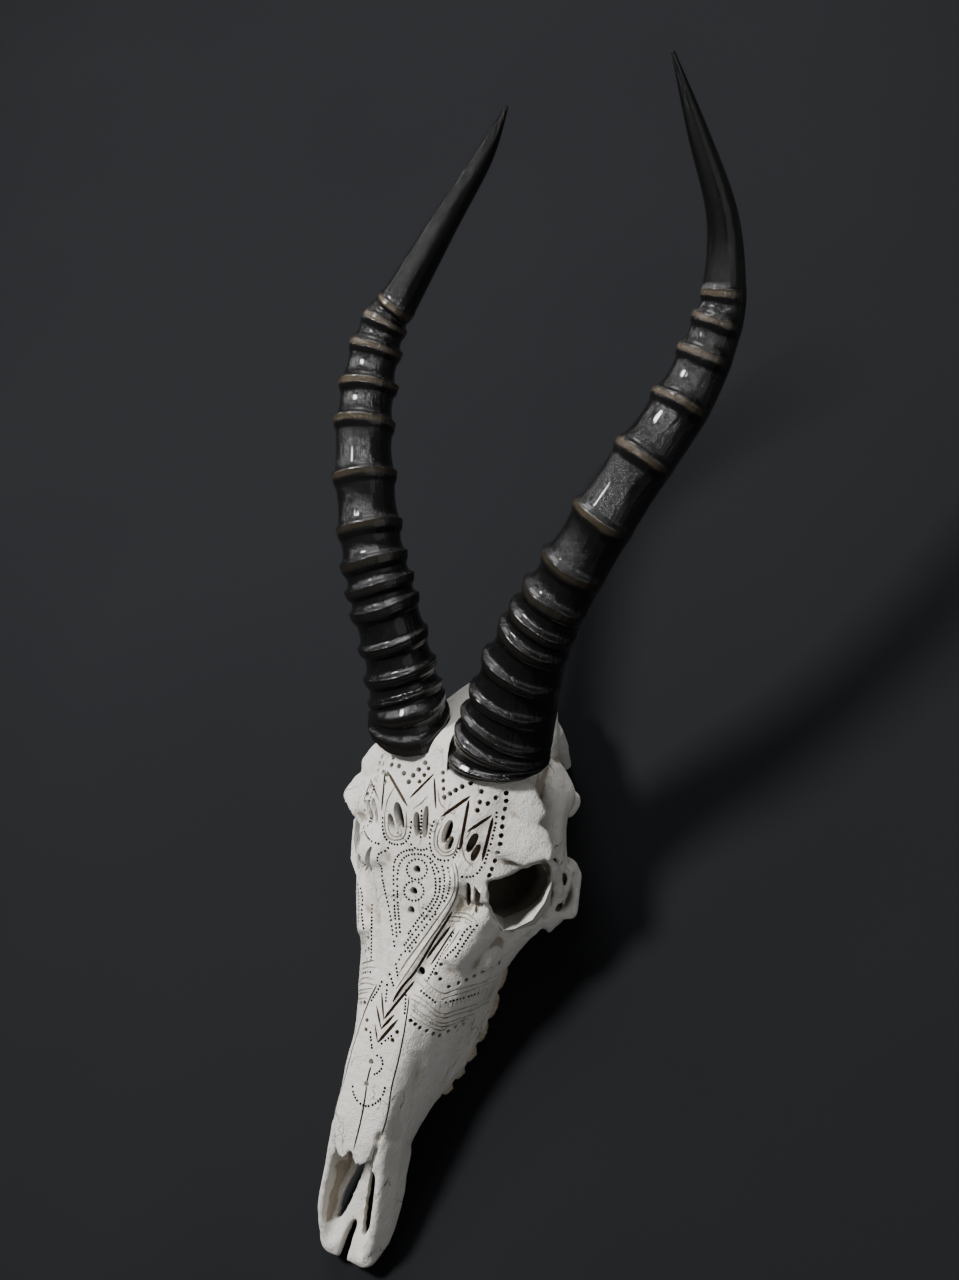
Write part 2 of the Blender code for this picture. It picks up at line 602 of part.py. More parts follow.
def reskin(target, voxel, smoothing):
    """Grow one even skin over everything the object is made of so far, and wear it smooth."""
    skin = target.modifiers.new("one skin", "REMESH")
    skin.mode = "VOXEL"
    skin.voxel_size = voxel * MM
    smooth = target.modifiers.new("worn smooth", "SMOOTH")
    smooth.factor = 0.5
    smooth.iterations = smoothing


def make_skull(parts, cutters, material):
    left = side_bones()
    bodies = [face_skin("face", FACE_SECTIONS)] + left + [mirrored(mesh) for mesh in left]
    skull = joined("skull", bodies, parts, material)
    reskin(skull, JOINING_VOXEL, JOINED_SMOOTHING)
    for name, meshes in hollows():
        cut(skull, name, meshes, cutters)
    reskin(skull, OPENED_VOXEL, OPENED_SMOOTHING)
    lighter = skull.modifiers.new("fewer faces", "DECIMATE")
    lighter.ratio = SKULL_TRIANGLE_SHARE
    for side in ("left", "right"):
        cut(skull, "sheath room " + side, [horn_clearance(side)], cutters)
    for side in ("left", "right"):
        core = horn_inside(side, "horn core", -0.06, CORE_REACH, -SHEATH_WALL - 0.6, 0.6)
        cut(skull, "horn core " + side, [core], cutters, "UNION")
    cut(skull, "carving", slot_cutters(), cutters)
    cut(skull, "tooth troughs", [tooth_trough(1), tooth_trough(-1)], cutters)


def make_horn(side, parts, cutters, material):
    horn = joined("horn_" + side, [horn_sheath(side)], parts, material)
    inside = horn_inside(side, "horn hollow", -0.03, CAVITY_REACH, -SHEATH_WALL, 0.5)
    cut(horn, "horn hollow " + side, [inside], cutters)


def make_teeth(parts, material):
    for name, side in (("left", 1), ("right", -1)):
        for index in range(len(TEETH)):
            joined("tooth_%s_%d" % (name, index + 1), [closed_skin("tooth", tooth_rings(index, side, 0.0))],
                   parts, material)


def main():
    clear_scene()
    parts = make_collection("carved_blesbok_skull")
    cutters = make_collection("cutters")
    make_skull(parts, cutters, make_material("bone", BONE, 0.7))
    horn_black = make_material("black horn", HORN_BLACK, 0.2)
    make_horn("left", parts, cutters, horn_black)
    make_horn("right", parts, cutters, horn_black)
    make_teeth(parts, make_material("enamel", ENAMEL, 0.4))


main()
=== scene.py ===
import math

import bmesh
import bpy
import numpy as np
from bpy.props import FloatProperty, FloatVectorProperty, IntProperty, PointerProperty
from mathutils import Matrix, Vector
from mathutils.bvhtree import BVHTree


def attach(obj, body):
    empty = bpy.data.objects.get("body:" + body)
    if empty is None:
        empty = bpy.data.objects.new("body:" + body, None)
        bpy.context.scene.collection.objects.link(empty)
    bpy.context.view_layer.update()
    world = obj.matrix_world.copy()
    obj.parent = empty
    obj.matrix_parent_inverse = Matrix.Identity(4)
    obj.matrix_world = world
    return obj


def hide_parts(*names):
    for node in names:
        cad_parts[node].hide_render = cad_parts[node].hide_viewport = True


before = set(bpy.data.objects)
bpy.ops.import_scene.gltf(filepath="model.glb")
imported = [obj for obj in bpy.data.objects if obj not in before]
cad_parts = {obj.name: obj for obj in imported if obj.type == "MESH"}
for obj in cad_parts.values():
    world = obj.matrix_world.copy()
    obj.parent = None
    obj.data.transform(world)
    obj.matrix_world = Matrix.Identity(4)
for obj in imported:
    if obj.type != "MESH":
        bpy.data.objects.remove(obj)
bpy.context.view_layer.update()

bl_info = {
    "name": "Carved Blesbok Skull",
    "version": (1, 0, 0),
    "blender": (4, 5, 0),
    "location": "View3D > Sidebar > Skull",
    "description": "A dry blesbok skull with pierced carving and glossy ringed horns",
    "category": "Add Mesh",
}

MM = 0.001
SHIFT = Vector((-12.15, -113.25, 0.0))

# The camera of the photograph, in the skull's own frame in millimetres
CAMERA_PLACE = Vector((374.9, -32.65, 805.8))
CAMERA_RIGHT = Vector((0.85974, 0.34733, -0.37446))
CAMERA_UP = Vector((-0.20835, 0.90789, 0.36377))
CAMERA_BACK = Vector((0.46631, -0.23473, 0.85291))
PHOTO_WIDTH, PHOTO_HEIGHT = 959, 1280
PHOTO_FOCUS = 1505.5
SENSOR_MM = 36.0

# Half sections of the face and braincase, from the nose back: y, then (half width, height) from the
# middle of the roof, over the shoulder and the side, to the middle of the palate.
FACE_SECTIONS = (
    (-122, (0, 49), (6, 48.5), (12, 46), (16, 37), (17.5, 27), (15.5, 17), (0, 18)),
    (-102, (0, 57), (8, 56.5), (15, 54), (18.5, 43), (19.5, 31), (16, 18), (0, 20)),
    (-79, (0, 62.5), (8, 62), (15.5, 60), (20, 49), (22.5, 33), (19.5, 15), (0, 22)),
    (-56, (0, 68), (9, 67.5), (16, 64), (22.5, 53), (27.5, 36), (26.5, 11), (0, 21)),
    (-35, (0, 71), (11, 70.5), (20, 67.5), (28, 55), (32, 38), (29.5, 9), (0, 21)),
    (-15, (0, 76), (13, 75.5), (25, 71), (33, 57), (35.5, 40), (30, 9), (0, 22)),
    (5, (0, 82.5), (15, 82), (29, 77.5), (38, 62), (38, 42), (29, 11), (0, 23)),
    (20, (0, 89), (16, 89), (31, 84), (38, 66), (37, 46), (27, 16), (0, 25)),
    (40, (0, 99), (17, 99), (31, 94), (34, 78), (30, 50), (23, 26), (0, 28)),
    (60, (0, 108.5), (18, 109), (32, 104), (34, 86), (31, 56), (24, 32), (0, 31)),
    (80, (0, 113), (18, 113), (36, 107), (38, 90), (35, 62), (26, 36), (0, 32)),
    (100, (0, 117), (14, 115), (36, 104), (40, 86), (38, 62), (28, 38), (0, 31)),
    (120, (0, 100), (14, 98), (30, 86), (38, 73), (37, 56), (26, 37), (0, 30)),
    (140, (0, 84), (13, 82), (24, 74), (29, 63), (28, 51), (20, 38), (0, 30)),
    (154, (0, 72), (10, 71), (17, 65), (20, 56), (19, 48), (13, 40), (0, 35)),
)
# The hollow of the braincase: its middle and its three radii
BRAIN_HOLLOW = ((0, 108, 64), (31, 34, 25))
# The hollow of the nose, as half sections in the same form as the face
NOSE_HOLLOW_SECTIONS = (
    (-190, (0, 60), (6, 60), (11, 58), (13, 46), (13, 32), (11.5, 20), (0, 20)),
    (-150, (0, 60), (7, 60), (12, 56), (13.3, 42), (14, 30), (12.5, 16.5), (0, 15.5)),
    (-126, (0, 52), (6, 51), (11, 48), (13, 38), (14, 29), (12, 20.5), (0, 19.6)),
    (-112, (0, 48), (7, 47.5), (11.5, 45), (14.5, 38), (15.5, 30), (12.5, 24), (0, 24.3)),
    (-79, (0, 57.5), (8, 57), (12.5, 54), (16, 46), (18, 34), (15, 26), (0, 27)),
    (-35, (0, 66), (11, 65.5), (17, 62), (23.5, 52), (26, 40), (17, 27), (0, 26)),
    (5, (0, 77.5), (14, 77), (25, 72), (33, 60), (32, 45), (18, 29), (0, 28)),
    (20, (0, 84), (15, 84), (26, 79), (29, 66), (24, 50), (15, 32), (0, 30)),
    (34, (0, 91), (14, 91), (25, 87), (22, 76), (14, 60), (10, 42), (0, 36)),
    (60, (0, 103), (15, 103), (25, 99), (22, 88), (14, 78), (8, 70), (0, 70)),
    (84, (0, 107), (14, 107), (23, 103), (21, 96), (14, 90), (8, 87), (0, 87)),
)

# Orbit
ORBIT_CENTRE = Vector((49.5, 38.0, 62.0))
ORBIT_NORMAL = Vector((0.861, -0.375, 0.344)).normalized()
ORBIT_RIM_RADIUS = 21.5
ORBIT_RIM_THICKNESS = 3.9
EYE_SOCKET_RADIUS = 19.8
SOCKET_WALL = 3.2
# The middle of the eyeball's room, behind the plane of the rim
SOCKET_MIDDLE = ORBIT_CENTRE - ORBIT_NORMAL * 9.5
# The next four are outlines that the photograph shows. Each point is a place in its frame of 959 by
# 1280 and the height in millimetres at which the sight line through that place is stopped.
# The mouth of the left eye socket, as a funnel: its lip, then its throat
ORBIT_LIP = (
    (487, 880, 100), (500, 877, 100), (515, 870, 98), (532, 863, 94), (546.9, 859, 88), (554, 868, 82),
    (553.9, 884, 80), (547, 905, 76), (532.9, 922, 74), (516.9, 940, 76), (505, 941, 80), (494, 925, 88),
    (487, 900, 96),
)
ORBIT_THROAT = (
    (488, 883, 62), (500, 880, 62), (515, 872.9, 60), (532, 865.9, 58), (546, 862, 56), (549, 870, 54),
    (547, 884, 52), (538.9, 899, 50), (526, 909, 50), (514, 914, 50), (503, 918, 52), (494, 912.9, 56),
    (489, 898, 60),
)
# The outer face of the thin slanting plate behind the orbit
HINGE_PLATE = (
    (558.9, 856, 45), (570.9, 858, 42), (582, 874, 36), (579.9, 896, 34), (578, 915, 33), (573, 920, 34),
    (545, 921, 42),
)
HINGE_PLATE_DEPTH = Vector((-3.2, 1.6, -5.8))
# The pocket in that plate
HINGE_POCKET = (
    (550.9, 908.6, 46), (555.8, 888.4, 46), (563.7, 873.3, 45), (563.8, 893.4, 43), (561.8, 912.3, 42),
)
HINGE_POCKET_DEPTH = Vector((-2.4, 1.2, -4.6))

# What is cut away round the left nasal bone's free end, seen from above
NASAL_END = (
    (12.4, -100), (12.6, -108), (11.6, -113.5), (9.4, -118), (6.6, -120.6), (4.2, -120.2), (2.0, -117.6),
    (-0.3, -113), (-0.3, -140), (30, -140), (30, -100),
)

# Cheek teeth, front to back: length along the row, then the outer edge's distance from the middle
TEETH = ((10.0, 21.0), (11.0, 24.5), (12.0, 27.5), (14.0, 29.5), (16.0, 30.5), (16.0, 29.5))
TOOTH_ROW_START = -73.0
TOOTH_HEIGHT = 19.0
TOOTH_WIDTH = 12.5
TOOTH_GAP = 0.5

# Horns: the middle of the sheath from its base to its tip, its half widths there, and the places of
# its rings as shares of the way
HORN_ROUTES = {
    "left": (
        (26.3, 100, 100), (28.8, 108.5, 107.5), (32.2, 120, 117.2), (38, 139.5, 134.5), (47.5, 160, 151.5),
        (60.5, 185, 168), (79, 226, 185), (99.5, 275.5, 197), (107.5, 310, 209), (108, 328, 219),
        (103, 352.5, 237), (90, 376.5, 263.5), (78, 398, 291),
    ),
    "right": (
        (-31, 108, 107.2), (-32.6, 114, 111.6), (-35, 121.7, 117.8), (-40, 138.5, 133), (-48, 159, 151),
        (-58.5, 184, 166), (-73, 225, 181), (-81, 262, 190.5), (-80, 292, 199), (-72, 307.5, 204.5),
        (-52, 342, 222.5), (-32, 371.5, 240.5), (-19, 390, 257),
    ),
}
HORN_RADII = (26.0, 25.4, 24.2, 21.6, 18.6, 16.6, 15.6, 14.2, 12.2, 10.0, 7.4, 4.9, 0.9)
HORN_FLATNESS = (0.78, 0.78, 0.79, 0.83, 0.94, 1.0, 1.0, 1.0, 1.0, 1.0, 1.0, 1.0, 1.0)
HORN_OVAL_TURN = math.radians(-50)
HORN_BASE_NORMALS = {"left": Vector((0.0, 0.68, 0.73)), "right": Vector((-0.01, 0.444, 0.896))}
RING_PLACES = (
    0.03, 0.09, 0.15, 0.21, 0.265, 0.32, 0.353, 0.39, 0.43, 0.478, 0.534, 0.58, 0.63, 0.675, 0.735,
)
SHEATH_WALL = 3.4
CAVITY_REACH = 0.46
CORE_START = -0.06
CORE_REACH = 0.1
HORN_LENGTH = 385
SOCKET_GAP = 0.35

# The carving, as places in the photograph's frame of 959 by 1280 that are looked through onto the
# bone. What is on the skull's left half is repeated on its right half where it says so.
SLOTS_HERE = (
    ((442.9, 843.5), (451.4, 820.4), 2.1), ((445.9, 850.6), (452.7, 836.3), 1.5),
    ((416.9, 811.8), (416.9, 836.7), 1.6), ((426.9, 805.7), (424.5, 838.0), 1.5),
    ((389.4, 813.5), (393.1, 831.4), 1.7), ((396.7, 802.0), (402.0, 830.6), 2.3),
    ((368.0, 800.2), (370.6, 824.5), 1.7), ((372.9, 798.2), (376.7, 823.7), 1.7),
    ((362.7, 843.1), (364.9, 871.4), 1.3), ((371.4, 847.1), (370.4, 872.7), 1.4),
    ((467.8, 852.7), (477.1, 833.7), 2.0), ((472.4, 861.8), (479.6, 844.5), 1.8),
    ((467.8, 882.9), (468.4, 906.1), 1.4), ((478.0, 880.8), (475.9, 913.5), 1.4),
)
BIG_HOLES = ((416.9, 869.4), (413.9, 891.0), (411.2, 910.0), (421.4, 971.0))
HOLES_HERE = (
    (393.3, 757.6), (399.0, 766.1), (403.7, 773.3), (408.6, 781.8), (413.1, 775.3), (418.6, 769.6),
    (425.1, 762.9), (470.6, 782.9), (462.0, 786.5), (455.5, 790.0), (449.8, 793.7), (444.1, 797.3),
)
HOLES_BOTH = (
    (481.2, 791.4), (479.6, 802.0), (477.3, 810.2), (488.0, 803.5), (496.1, 797.8),
    (506.3, 793.1), (506.3, 801.2), (505.3, 809.2), (503.5, 818.0), (502.4, 826.7), (501.4, 835.7),
    (500.0, 844.3), (497.8, 853.1), (495.3, 861.0), (492.4, 869.0), (489.6, 875.5),
    (486.1, 981.4), (486.3, 990.6),
)
SMALL_HOLES_BOTH = (
    (449.0, 986.9), (458.8, 983.1), (466.5, 980.0), (474.3, 976.1), (482.7, 972.0), (490.8, 968.2),
    (499.6, 963.1), (410.4, 1020.6), (415.3, 1024.5), (420.0, 1028.0), (426.9, 1031.0), (433.3, 1033.9),
    (439.6, 1035.5), (448.4, 1031.4), (455.7, 1027.1), (463.7, 1024.1), (440.8, 964.9), (435.7, 973.7),
    (440.4, 979.2), (442.9, 772.7), (443.1, 780.6), (443.5, 788.8), (392.4, 1040.2), (396.9, 1032.0),
)
NOSE_HOLES = ((371.0, 1061.6), (366.3, 1083.9))
# Whether the right half has the holes too, their radius and their depth
DRILLED = (
    (HOLES_HERE, False, 1.45, 11.0), (BIG_HOLES, False, 2.2, 12.0), (NOSE_HOLES, False, 1.5, 8.0),
    (HOLES_BOTH, True, 1.4, 9.0), (SMALL_HOLES_BOTH, True, 1.2, 4.0),
)

# Straight dark cuts of the five petals: start, end, half width
CUTS_HERE = (
    ((469.8, 796.5), (441.4, 816.5), 1.01), ((468.8, 800.6), (459.6, 850.6), 1.01),
    ((433.7, 774.1), (410.2, 797.6), 0.74), ((434.3, 778.2), (435.7, 807.8), 0.74),
    ((385.3, 770.0), (381.6, 809.8), 0.81), ((387.3, 771.0), (407.1, 805.7), 0.94),
    ((371.4, 779.2), (363.3, 801.6), 0.68), ((370.4, 779.2), (378.6, 799.6), 0.68),
    ((491.8, 815.5), (467.3, 831.8), 1.01), ((492.9, 818.0), (482.2, 860.8), 1.01),
    ((383.7, 1019.2), (414.3, 981.4), 0.81), ((381.2, 1028.8), (393.9, 1015.1), 1.08),
    ((377.6, 1042.7), (397.6, 1019.8), 1.08), ((381.6, 993.0), (383.7, 1019.2), 0.68),
    ((376.5, 1005.9), (381.2, 1028.8), 0.68), ((375.1, 1025.3), (377.6, 1042.7), 0.61),
)
# Finer lines that follow a curve, and whether the right half has them too
LINES = (
    (((438.8, 820.0), (434.3, 834.3), (434.7, 846.5), (440.8, 855.1), (449.0, 855.7), (455.5, 850.6),
      (460.2, 834.3)), 0.5, False),
    (((384.7, 811.8), (384.7, 826.1), (388.2, 837.3), (395.9, 840.4), (403.7, 837.3), (406.5, 826.1),
      (406.1, 811.8)), 0.5, False),
    (((463.3, 834.3), (462.2, 846.5), (465.3, 858.8), (473.5, 866.9)), 0.5, False),
    (((451.4, 863.9), (454.7, 875.1), (454.1, 889.4), (449.0, 901.6), (440.8, 913.9), (430.6, 928.2),
      (420.4, 942.4), (408.2, 958.8), (399.0, 973.1)), 0.55, False),
    (((455.1, 862.9), (458.2, 877.1), (457.1, 893.5), (451.0, 907.8), (442.9, 921.0), (430.6, 938.4),
      (420.4, 952.7), (408.2, 971.0), (395.9, 989.4)), 0.6, False),
    (((452.0, 912.0), (445.3, 923.0), (434.7, 939.3), (424.5, 956.7), (414.3, 973.0), (402.0, 987.3),
      (392.9, 1001.6)), 0.9, False),
    (((450.6, 926.1), (442.9, 936.3), (433.7, 948.6), (426.9, 958.4)), 0.9, False),
    (((455.1, 927.8), (447.3, 939.4), (438.8, 952.7), (430.6, 964.9)), 0.7, False),
    (((459.8, 930.2), (452.0, 942.4), (442.9, 955.7)), 0.5, False),
    (((450.6, 916.9), (463.3, 917.6), (472.4, 922.0)), 0.6, False),
    (((455.1, 912.9), (467.3, 913.9), (476.5, 921.0)), 0.5, False),
    (((448.6, 921.0), (461.2, 921.6)), 0.5, False),
    (((423.5, 978.4), (430.6, 985.5), (442.9, 993.7), (455.1, 990.2), (475.5, 984.5), (491.8, 978.4),
      (500.0, 972.7)), 0.6, True),
    (((414.3, 994.7), (426.5, 1001.8), (441.8, 1014.1), (457.1, 1010.0), (469.4, 1006.5), (483.7, 1000.8),
      (494.0, 993.7)), 0.55, True),
    (((411.2, 998.8), (426.5, 1008.0), (441.2, 1018.2), (457.1, 1014.1), (473.5, 1009.6),
      (488.0, 1001.8)), 0.6, True),
    (((411.2, 1003.9), (422.4, 1013.1), (440.8, 1023.3), (457.1, 1019.2), (473.5, 1014.1)), 0.5, True),
    (((410.2, 1015.1), (422.4, 1023.3), (439.8, 1030.4), (451.0, 1026.3), (463.3, 1021.2)), 0.5, True),
    (((374.5, 1150.0), (369.0, 1175.0), (361.0, 1205.0), (353.0, 1224.0)), 0.5, False),
    (((418.5, 982.5), (426.0, 989.0), (440.0, 999.5), (447.0, 997.5), (462.0, 993.0), (478.0, 987.5),
      (497.0, 979.5)), 0.5, True),
    (((412.5, 1009.5), (424.0, 1018.5), (440.5, 1027.0), (456.0, 1022.8), (468.5, 1018.6)), 0.5, True),
    (((441.5, 826.0), (437.5, 836.0), (438.0, 846.0), (442.5, 851.8), (448.5, 852.2), (453.0, 848.6)),
     0.45, False),
    (((388.5, 813.0), (388.0, 826.0), (391.0, 834.5), (396.5, 837.0), (401.5, 834.5)), 0.45, False),
    (((427.5, 796.0), (421.5, 803.0), (413.5, 808.5)), 0.5, False),
    (((438.0, 790.0), (440.0, 803.0), (446.5, 810.0)), 0.5, False),
    (((459.5, 803.0), (448.0, 812.0), (441.8, 820.5)), 0.5, False),
    (((484.0, 822.0), (472.5, 829.5), (466.3, 838.0)), 0.5, False),
    (((394.5, 787.0), (387.5, 800.0), (385.5, 811.0)), 0.5, False),
)
# Cross bars of the cheek bands: a line from its start to its end is cut across between two places
LADDERS_BOTH = (
    ((426.0, 984.0), (442.9, 997.5), (416.5, 991.5), (441.8, 1010.5), 6),
    ((446.0, 997.0), (496.0, 981.5), (446.0, 1009.5), (492.0, 992.5), 11),
    ((414.0, 1006.0), (439.0, 1023.5), (412.5, 1013.5), (439.5, 1028.5), 9),
    ((444.0, 1023.5), (470.0, 1016.0), (444.0, 1027.0), (464.0, 1020.0), 8),
)
# Long natural seams of the nose: the one in the middle and the one along the upper jaw
MIDDLE_SEAM = ((371.0, 1066.1), (367.3, 1080.4), (364.9, 1098.8), (360.2, 1123.3), (353.5, 1149.8))
SIDE_SEAM = (
    (409.2, 996.7), (407.1, 1013.1), (403.1, 1037.6), (398.0, 1062.0), (391.8, 1086.5), (387.8, 1113.1),
    (381.6, 1135.5),
)
# Rows of small dots
DOT_ROWS_HERE = (
    ((433.7, 822.0), (430.0, 834.3), (430.6, 848.6), (435.7, 857.8), (444.9, 860.8), (453.1, 857.8),
     (458.2, 848.6)),
    ((382.7, 818.0), (382.7, 828.2), (385.7, 838.4), (391.8, 843.5), (400.0, 844.5), (406.1, 841.4),
     (409.8, 834.3), (411.2, 822.0)),
    ((411.2, 844.5), (416.3, 849.0), (422.4, 850.0), (427.6, 848.6)),
    ((363.3, 828.2), (366.3, 835.3), (370.4, 840.4), (375.5, 842.9), (380.6, 844.1)),
    ((462.2, 876.7), (469.4, 877.1), (475.9, 874.5), (481.2, 868.0), (482.2, 862.9)),
    ((421.6, 811.0), (420.6, 838.0)),
    ((396.5, 936.0), (395.9, 926.1), (393.9, 899.6), (393.5, 879.2), (394.3, 862.9), (400.0, 853.7),
     (408.2, 850.2), (417.3, 849.8), (426.5, 850.6), (433.7, 853.7), (440.8, 862.9), (444.1, 875.1),
     (443.9, 889.4), (440.8, 901.6), (432.7, 915.9), (422.4, 930.2), (412.2, 942.4), (404.1, 952.7)),
    ((400.0, 932.0), (399.4, 924.1), (397.6, 899.6), (397.3, 879.2), (399.0, 865.9), (404.1, 857.8),
     (410.2, 854.7), (417.3, 854.1), (424.5, 855.1), (430.2, 858.8), (436.3, 866.9), (439.6, 877.1),
     (439.6, 889.4), (436.3, 900.6), (428.6, 912.9), (419.4, 925.1), (410.2, 937.3), (403.1, 946.5)),
    ((430.6, 862.9), (434.7, 875.1), (435.7, 889.4), (432.7, 899.6), (424.9, 910.8), (416.3, 922.0),
     (408.2, 934.3)),
    ((377.1, 1055.5), (381.2, 1058.0), (382.7, 1063.1), (381.6, 1068.2), (378.6, 1072.2), (374.5, 1074.3)),
    ((352.7, 1086.5), (353.5, 1093.7), (357.6, 1101.2), (364.3, 1105.9), (371.4, 1105.3), (378.6, 1100.8),
     (383.3, 1093.7), (385.3, 1085.5)),
    ((370.4, 1032.4), (370.6, 1037.6), (371.4, 1042.7), (371.8, 1047.8)),
    ((381.6, 1043.7), (387.8, 1038.6), (394.3, 1033.5), (398.4, 1029.4)),
    ((395.9, 964.1), (397.6, 976.3)), ((389.8, 974.4), (393.3, 985.4)), ((401.0, 955.0), (396.5, 966.0)),
    ((387.0, 985.0), (385.5, 1003.0)),
)
DOT_ROWS_BOTH = (
    ((484.7, 862.9), (491.8, 840.4), (495.9, 822.0), (496.9, 809.8)),
    ((470.4, 926.5), (463.9, 932.7), (458.8, 942.4), (454.5, 948.6), (450.0, 952.7), (445.3, 957.8)),
    ((477.0, 925.5), (469.0, 936.0), (461.0, 948.5), (455.0, 958.0)),
    ((448.0, 868.0), (449.8, 877.0), (449.0, 889.4), (445.5, 899.0), (437.5, 911.0), (427.5, 925.5),
     (417.5, 940.0), (407.0, 955.0)),
    ((406.1, 990.5), (405.4, 1004.0), (404.6, 1014.0)),
    ((446.0, 1002.5), (462.0, 998.5), (478.0, 993.5)), ((421.0, 991.0), (437.0, 1003.5)),
    ((372.0, 905.0), (371.0, 962.0)),
)
DOT_CIRCLES = ((416.9, 869.4, 10.2), (413.9, 891.0, 9.8))
# Where the roof of the face ends at the side: distance along the skull, then half width
ROOF_BORDER = ((-48, 0.0), (-35, 2.5), (-15, 9.5), (5, 17.0), (20, 23.0), (32, 27.5))

DOT_SPACING = 1.95
DOT_RADIUS = 0.68
SLOT_WIDENING = 1.2


def cubic(before, start, end, after, share):
    """A point between start and end on the smooth curve through all four."""
    return 0.5 * (
        2 * start
        + (end - before) * share
        + (2 * before - 5 * start + 4 * end - after) * share**2
        + (3 * start - before - 3 * end + after) * share**3
    )


def along(values, position):
    """The value at a position from 0 to 1 on the smooth curve through evenly counted values."""
    last = len(values) - 1
    place = min(max(position, 0.0), 1.0) * last
    index = min(int(place), last - 1)
    before = values[max(index - 1, 0)]
    after = values[min(index + 2, last)]
    return cubic(before, values[index], values[index + 1], after, place - index)


def sight_way(x, y):
    """The direction from the camera through a place of the photograph."""
    across = (x - PHOTO_WIDTH / 2) / PHOTO_FOCUS
    down = (y - PHOTO_HEIGHT / 2) / PHOTO_FOCUS
    return CAMERA_RIGHT * across - CAMERA_UP * down - CAMERA_BACK


def seen_points(outline):
    """Where the sight lines through an outline's places meet its heights, to a tenth of a millimetre."""
    points = []
    for x, y, height in outline:
        way = sight_way(x, y)
        place = CAMERA_PLACE + way * ((height - CAMERA_PLACE.z) / way.z)
        points.append(Vector((round(place.x, 1), round(place.y, 1), height)))
    return points


def plate(name, outline, depth):
    """A flat body from an outline in the photograph to the same outline moved by its depth."""
    outer = seen_points(outline)
    return closed_skin(name, (outer, [point + depth for point in outer]))


def finished(name, build):
    """The mesh of what was built, its faces turned outwards."""
    bmesh.ops.recalc_face_normals(build, faces=build.faces)
    mesh = bpy.data.meshes.new(name)
    build.to_mesh(mesh)
    build.free()
    return mesh


def placed(name, data):
    """A new object of the scene."""
    made = bpy.data.objects.new(name, data)
    bpy.context.collection.objects.link(made)
    return made


def closed_skin(name, rings):
    """A closed body through rings of equally many points, its two ends filled."""
    build = bmesh.new()
    rows = [[build.verts.new(Vector(point) * MM) for point in ring] for ring in rings]
    count = len(rows[0])
    for low, high in zip(rows, rows[1:]):
        for i in range(count):
            j = (i + 1) % count
            build.faces.new((low[i], low[j], high[j], high[i]))
    build.faces.new(list(reversed(rows[0])))
    build.faces.new(rows[-1])
    return finished(name, build)


def face_ring(half, y):
    """One full ring of a face section, from the middle of the roof round by the left side."""
    left = [Vector((x, y, z)) for x, z in half]
    full = left + [Vector((-p.x, p.y, p.z)) for p in reversed(left[1:-1])]
    count = len(full)
    ring = []
    for i in range(count):
        for share in (0.0, 1 / 3, 2 / 3):
            ring.append(cubic(full[i - 1], full[i], full[(i + 1) % count], full[(i + 2) % count], share))
    return ring


def face_skin(name, sections, steps=56):
    ys = [section[0] for section in sections]
    halves = [[Vector((p[0], p[1])) for p in section[1:]] for section in sections]
    rings = []
    for step in range(steps + 1):
        position = step / steps
        half = [along([h[i] for h in halves], position) for i in range(len(halves[0]))]
        rings.append(face_ring([(p.x, p.y) for p in half], along(ys, position)))
    return closed_skin(name, rings)


def swept(name, route, sizes, sides=16, steps=24, up=(0, 0, 1)):
    """A tube through the route's points. Each size is its half width and half height."""
    route = [Vector(p) for p in route]
    sizes = [Vector(s) for s in sizes]
    rings = []
    for step in range(steps + 1):
        position = step / steps
        middle = along(route, position)
        tangent = along(route, min(position + 0.01, 1.0)) - along(route, max(position - 0.01, 0.0))
        tangent.normalize()
        side = tangent.cross(Vector(up)).normalized()
        rise = side.cross(tangent).normalized()
        size = along(sizes, position)
        ring = []
        for i in range(sides):
            turn = 2 * math.pi * i / sides
            ring.append(middle + side * size.x * math.cos(turn) + rise * size.y * math.sin(turn))
        rings.append(ring)
    return closed_skin(name, rings)


def ellipsoid(name, middle, radii):
    mesh = bpy.data.meshes.new(name)
    build = bmesh.new()
    bmesh.ops.create_uvsphere(build, u_segments=28, v_segments=16, radius=1.0)
    scale = Matrix.Diagonal((radii[0] * MM, radii[1] * MM, radii[2] * MM, 1.0))
    build.transform(Matrix.Translation(Vector(middle) * MM) @ scale)
    build.to_mesh(mesh)
    build.free()
    return mesh


def rim_points(radius, count=24):
    """Points round the left orbit's rim, in the plane of its opening."""
    side = ORBIT_NORMAL.cross(Vector((0, 0, 1))).normalized()
    rise = side.cross(ORBIT_NORMAL)
    turns = [2 * math.pi * i / count for i in range(count)]
    return [ORBIT_CENTRE + side * radius * math.cos(t) + rise * radius * math.sin(t) for t in turns]


def orbit_rim(name):
    """The thick ring of bone round the orbit, a closed torus."""
    build = bmesh.new()
    spine = rim_points(ORBIT_RIM_RADIUS, count=36)
    sides = 10
    rows = []
    for point in spine:
        outward = (point - ORBIT_CENTRE).normalized()
        row = []
        for i in range(sides):
            turn = 2 * math.pi * i / sides
            offset = outward * math.cos(turn) + ORBIT_NORMAL * math.sin(turn)
            row.append(build.verts.new((point + offset * ORBIT_RIM_THICKNESS) * MM))
        rows.append(row)
    for i, row in enumerate(rows):
        after = rows[(i + 1) % len(rows)]
        for k in range(sides):
            n = (k + 1) % sides
            build.faces.new((row[k], row[n], after[n], after[k]))
    return finished(name, build)


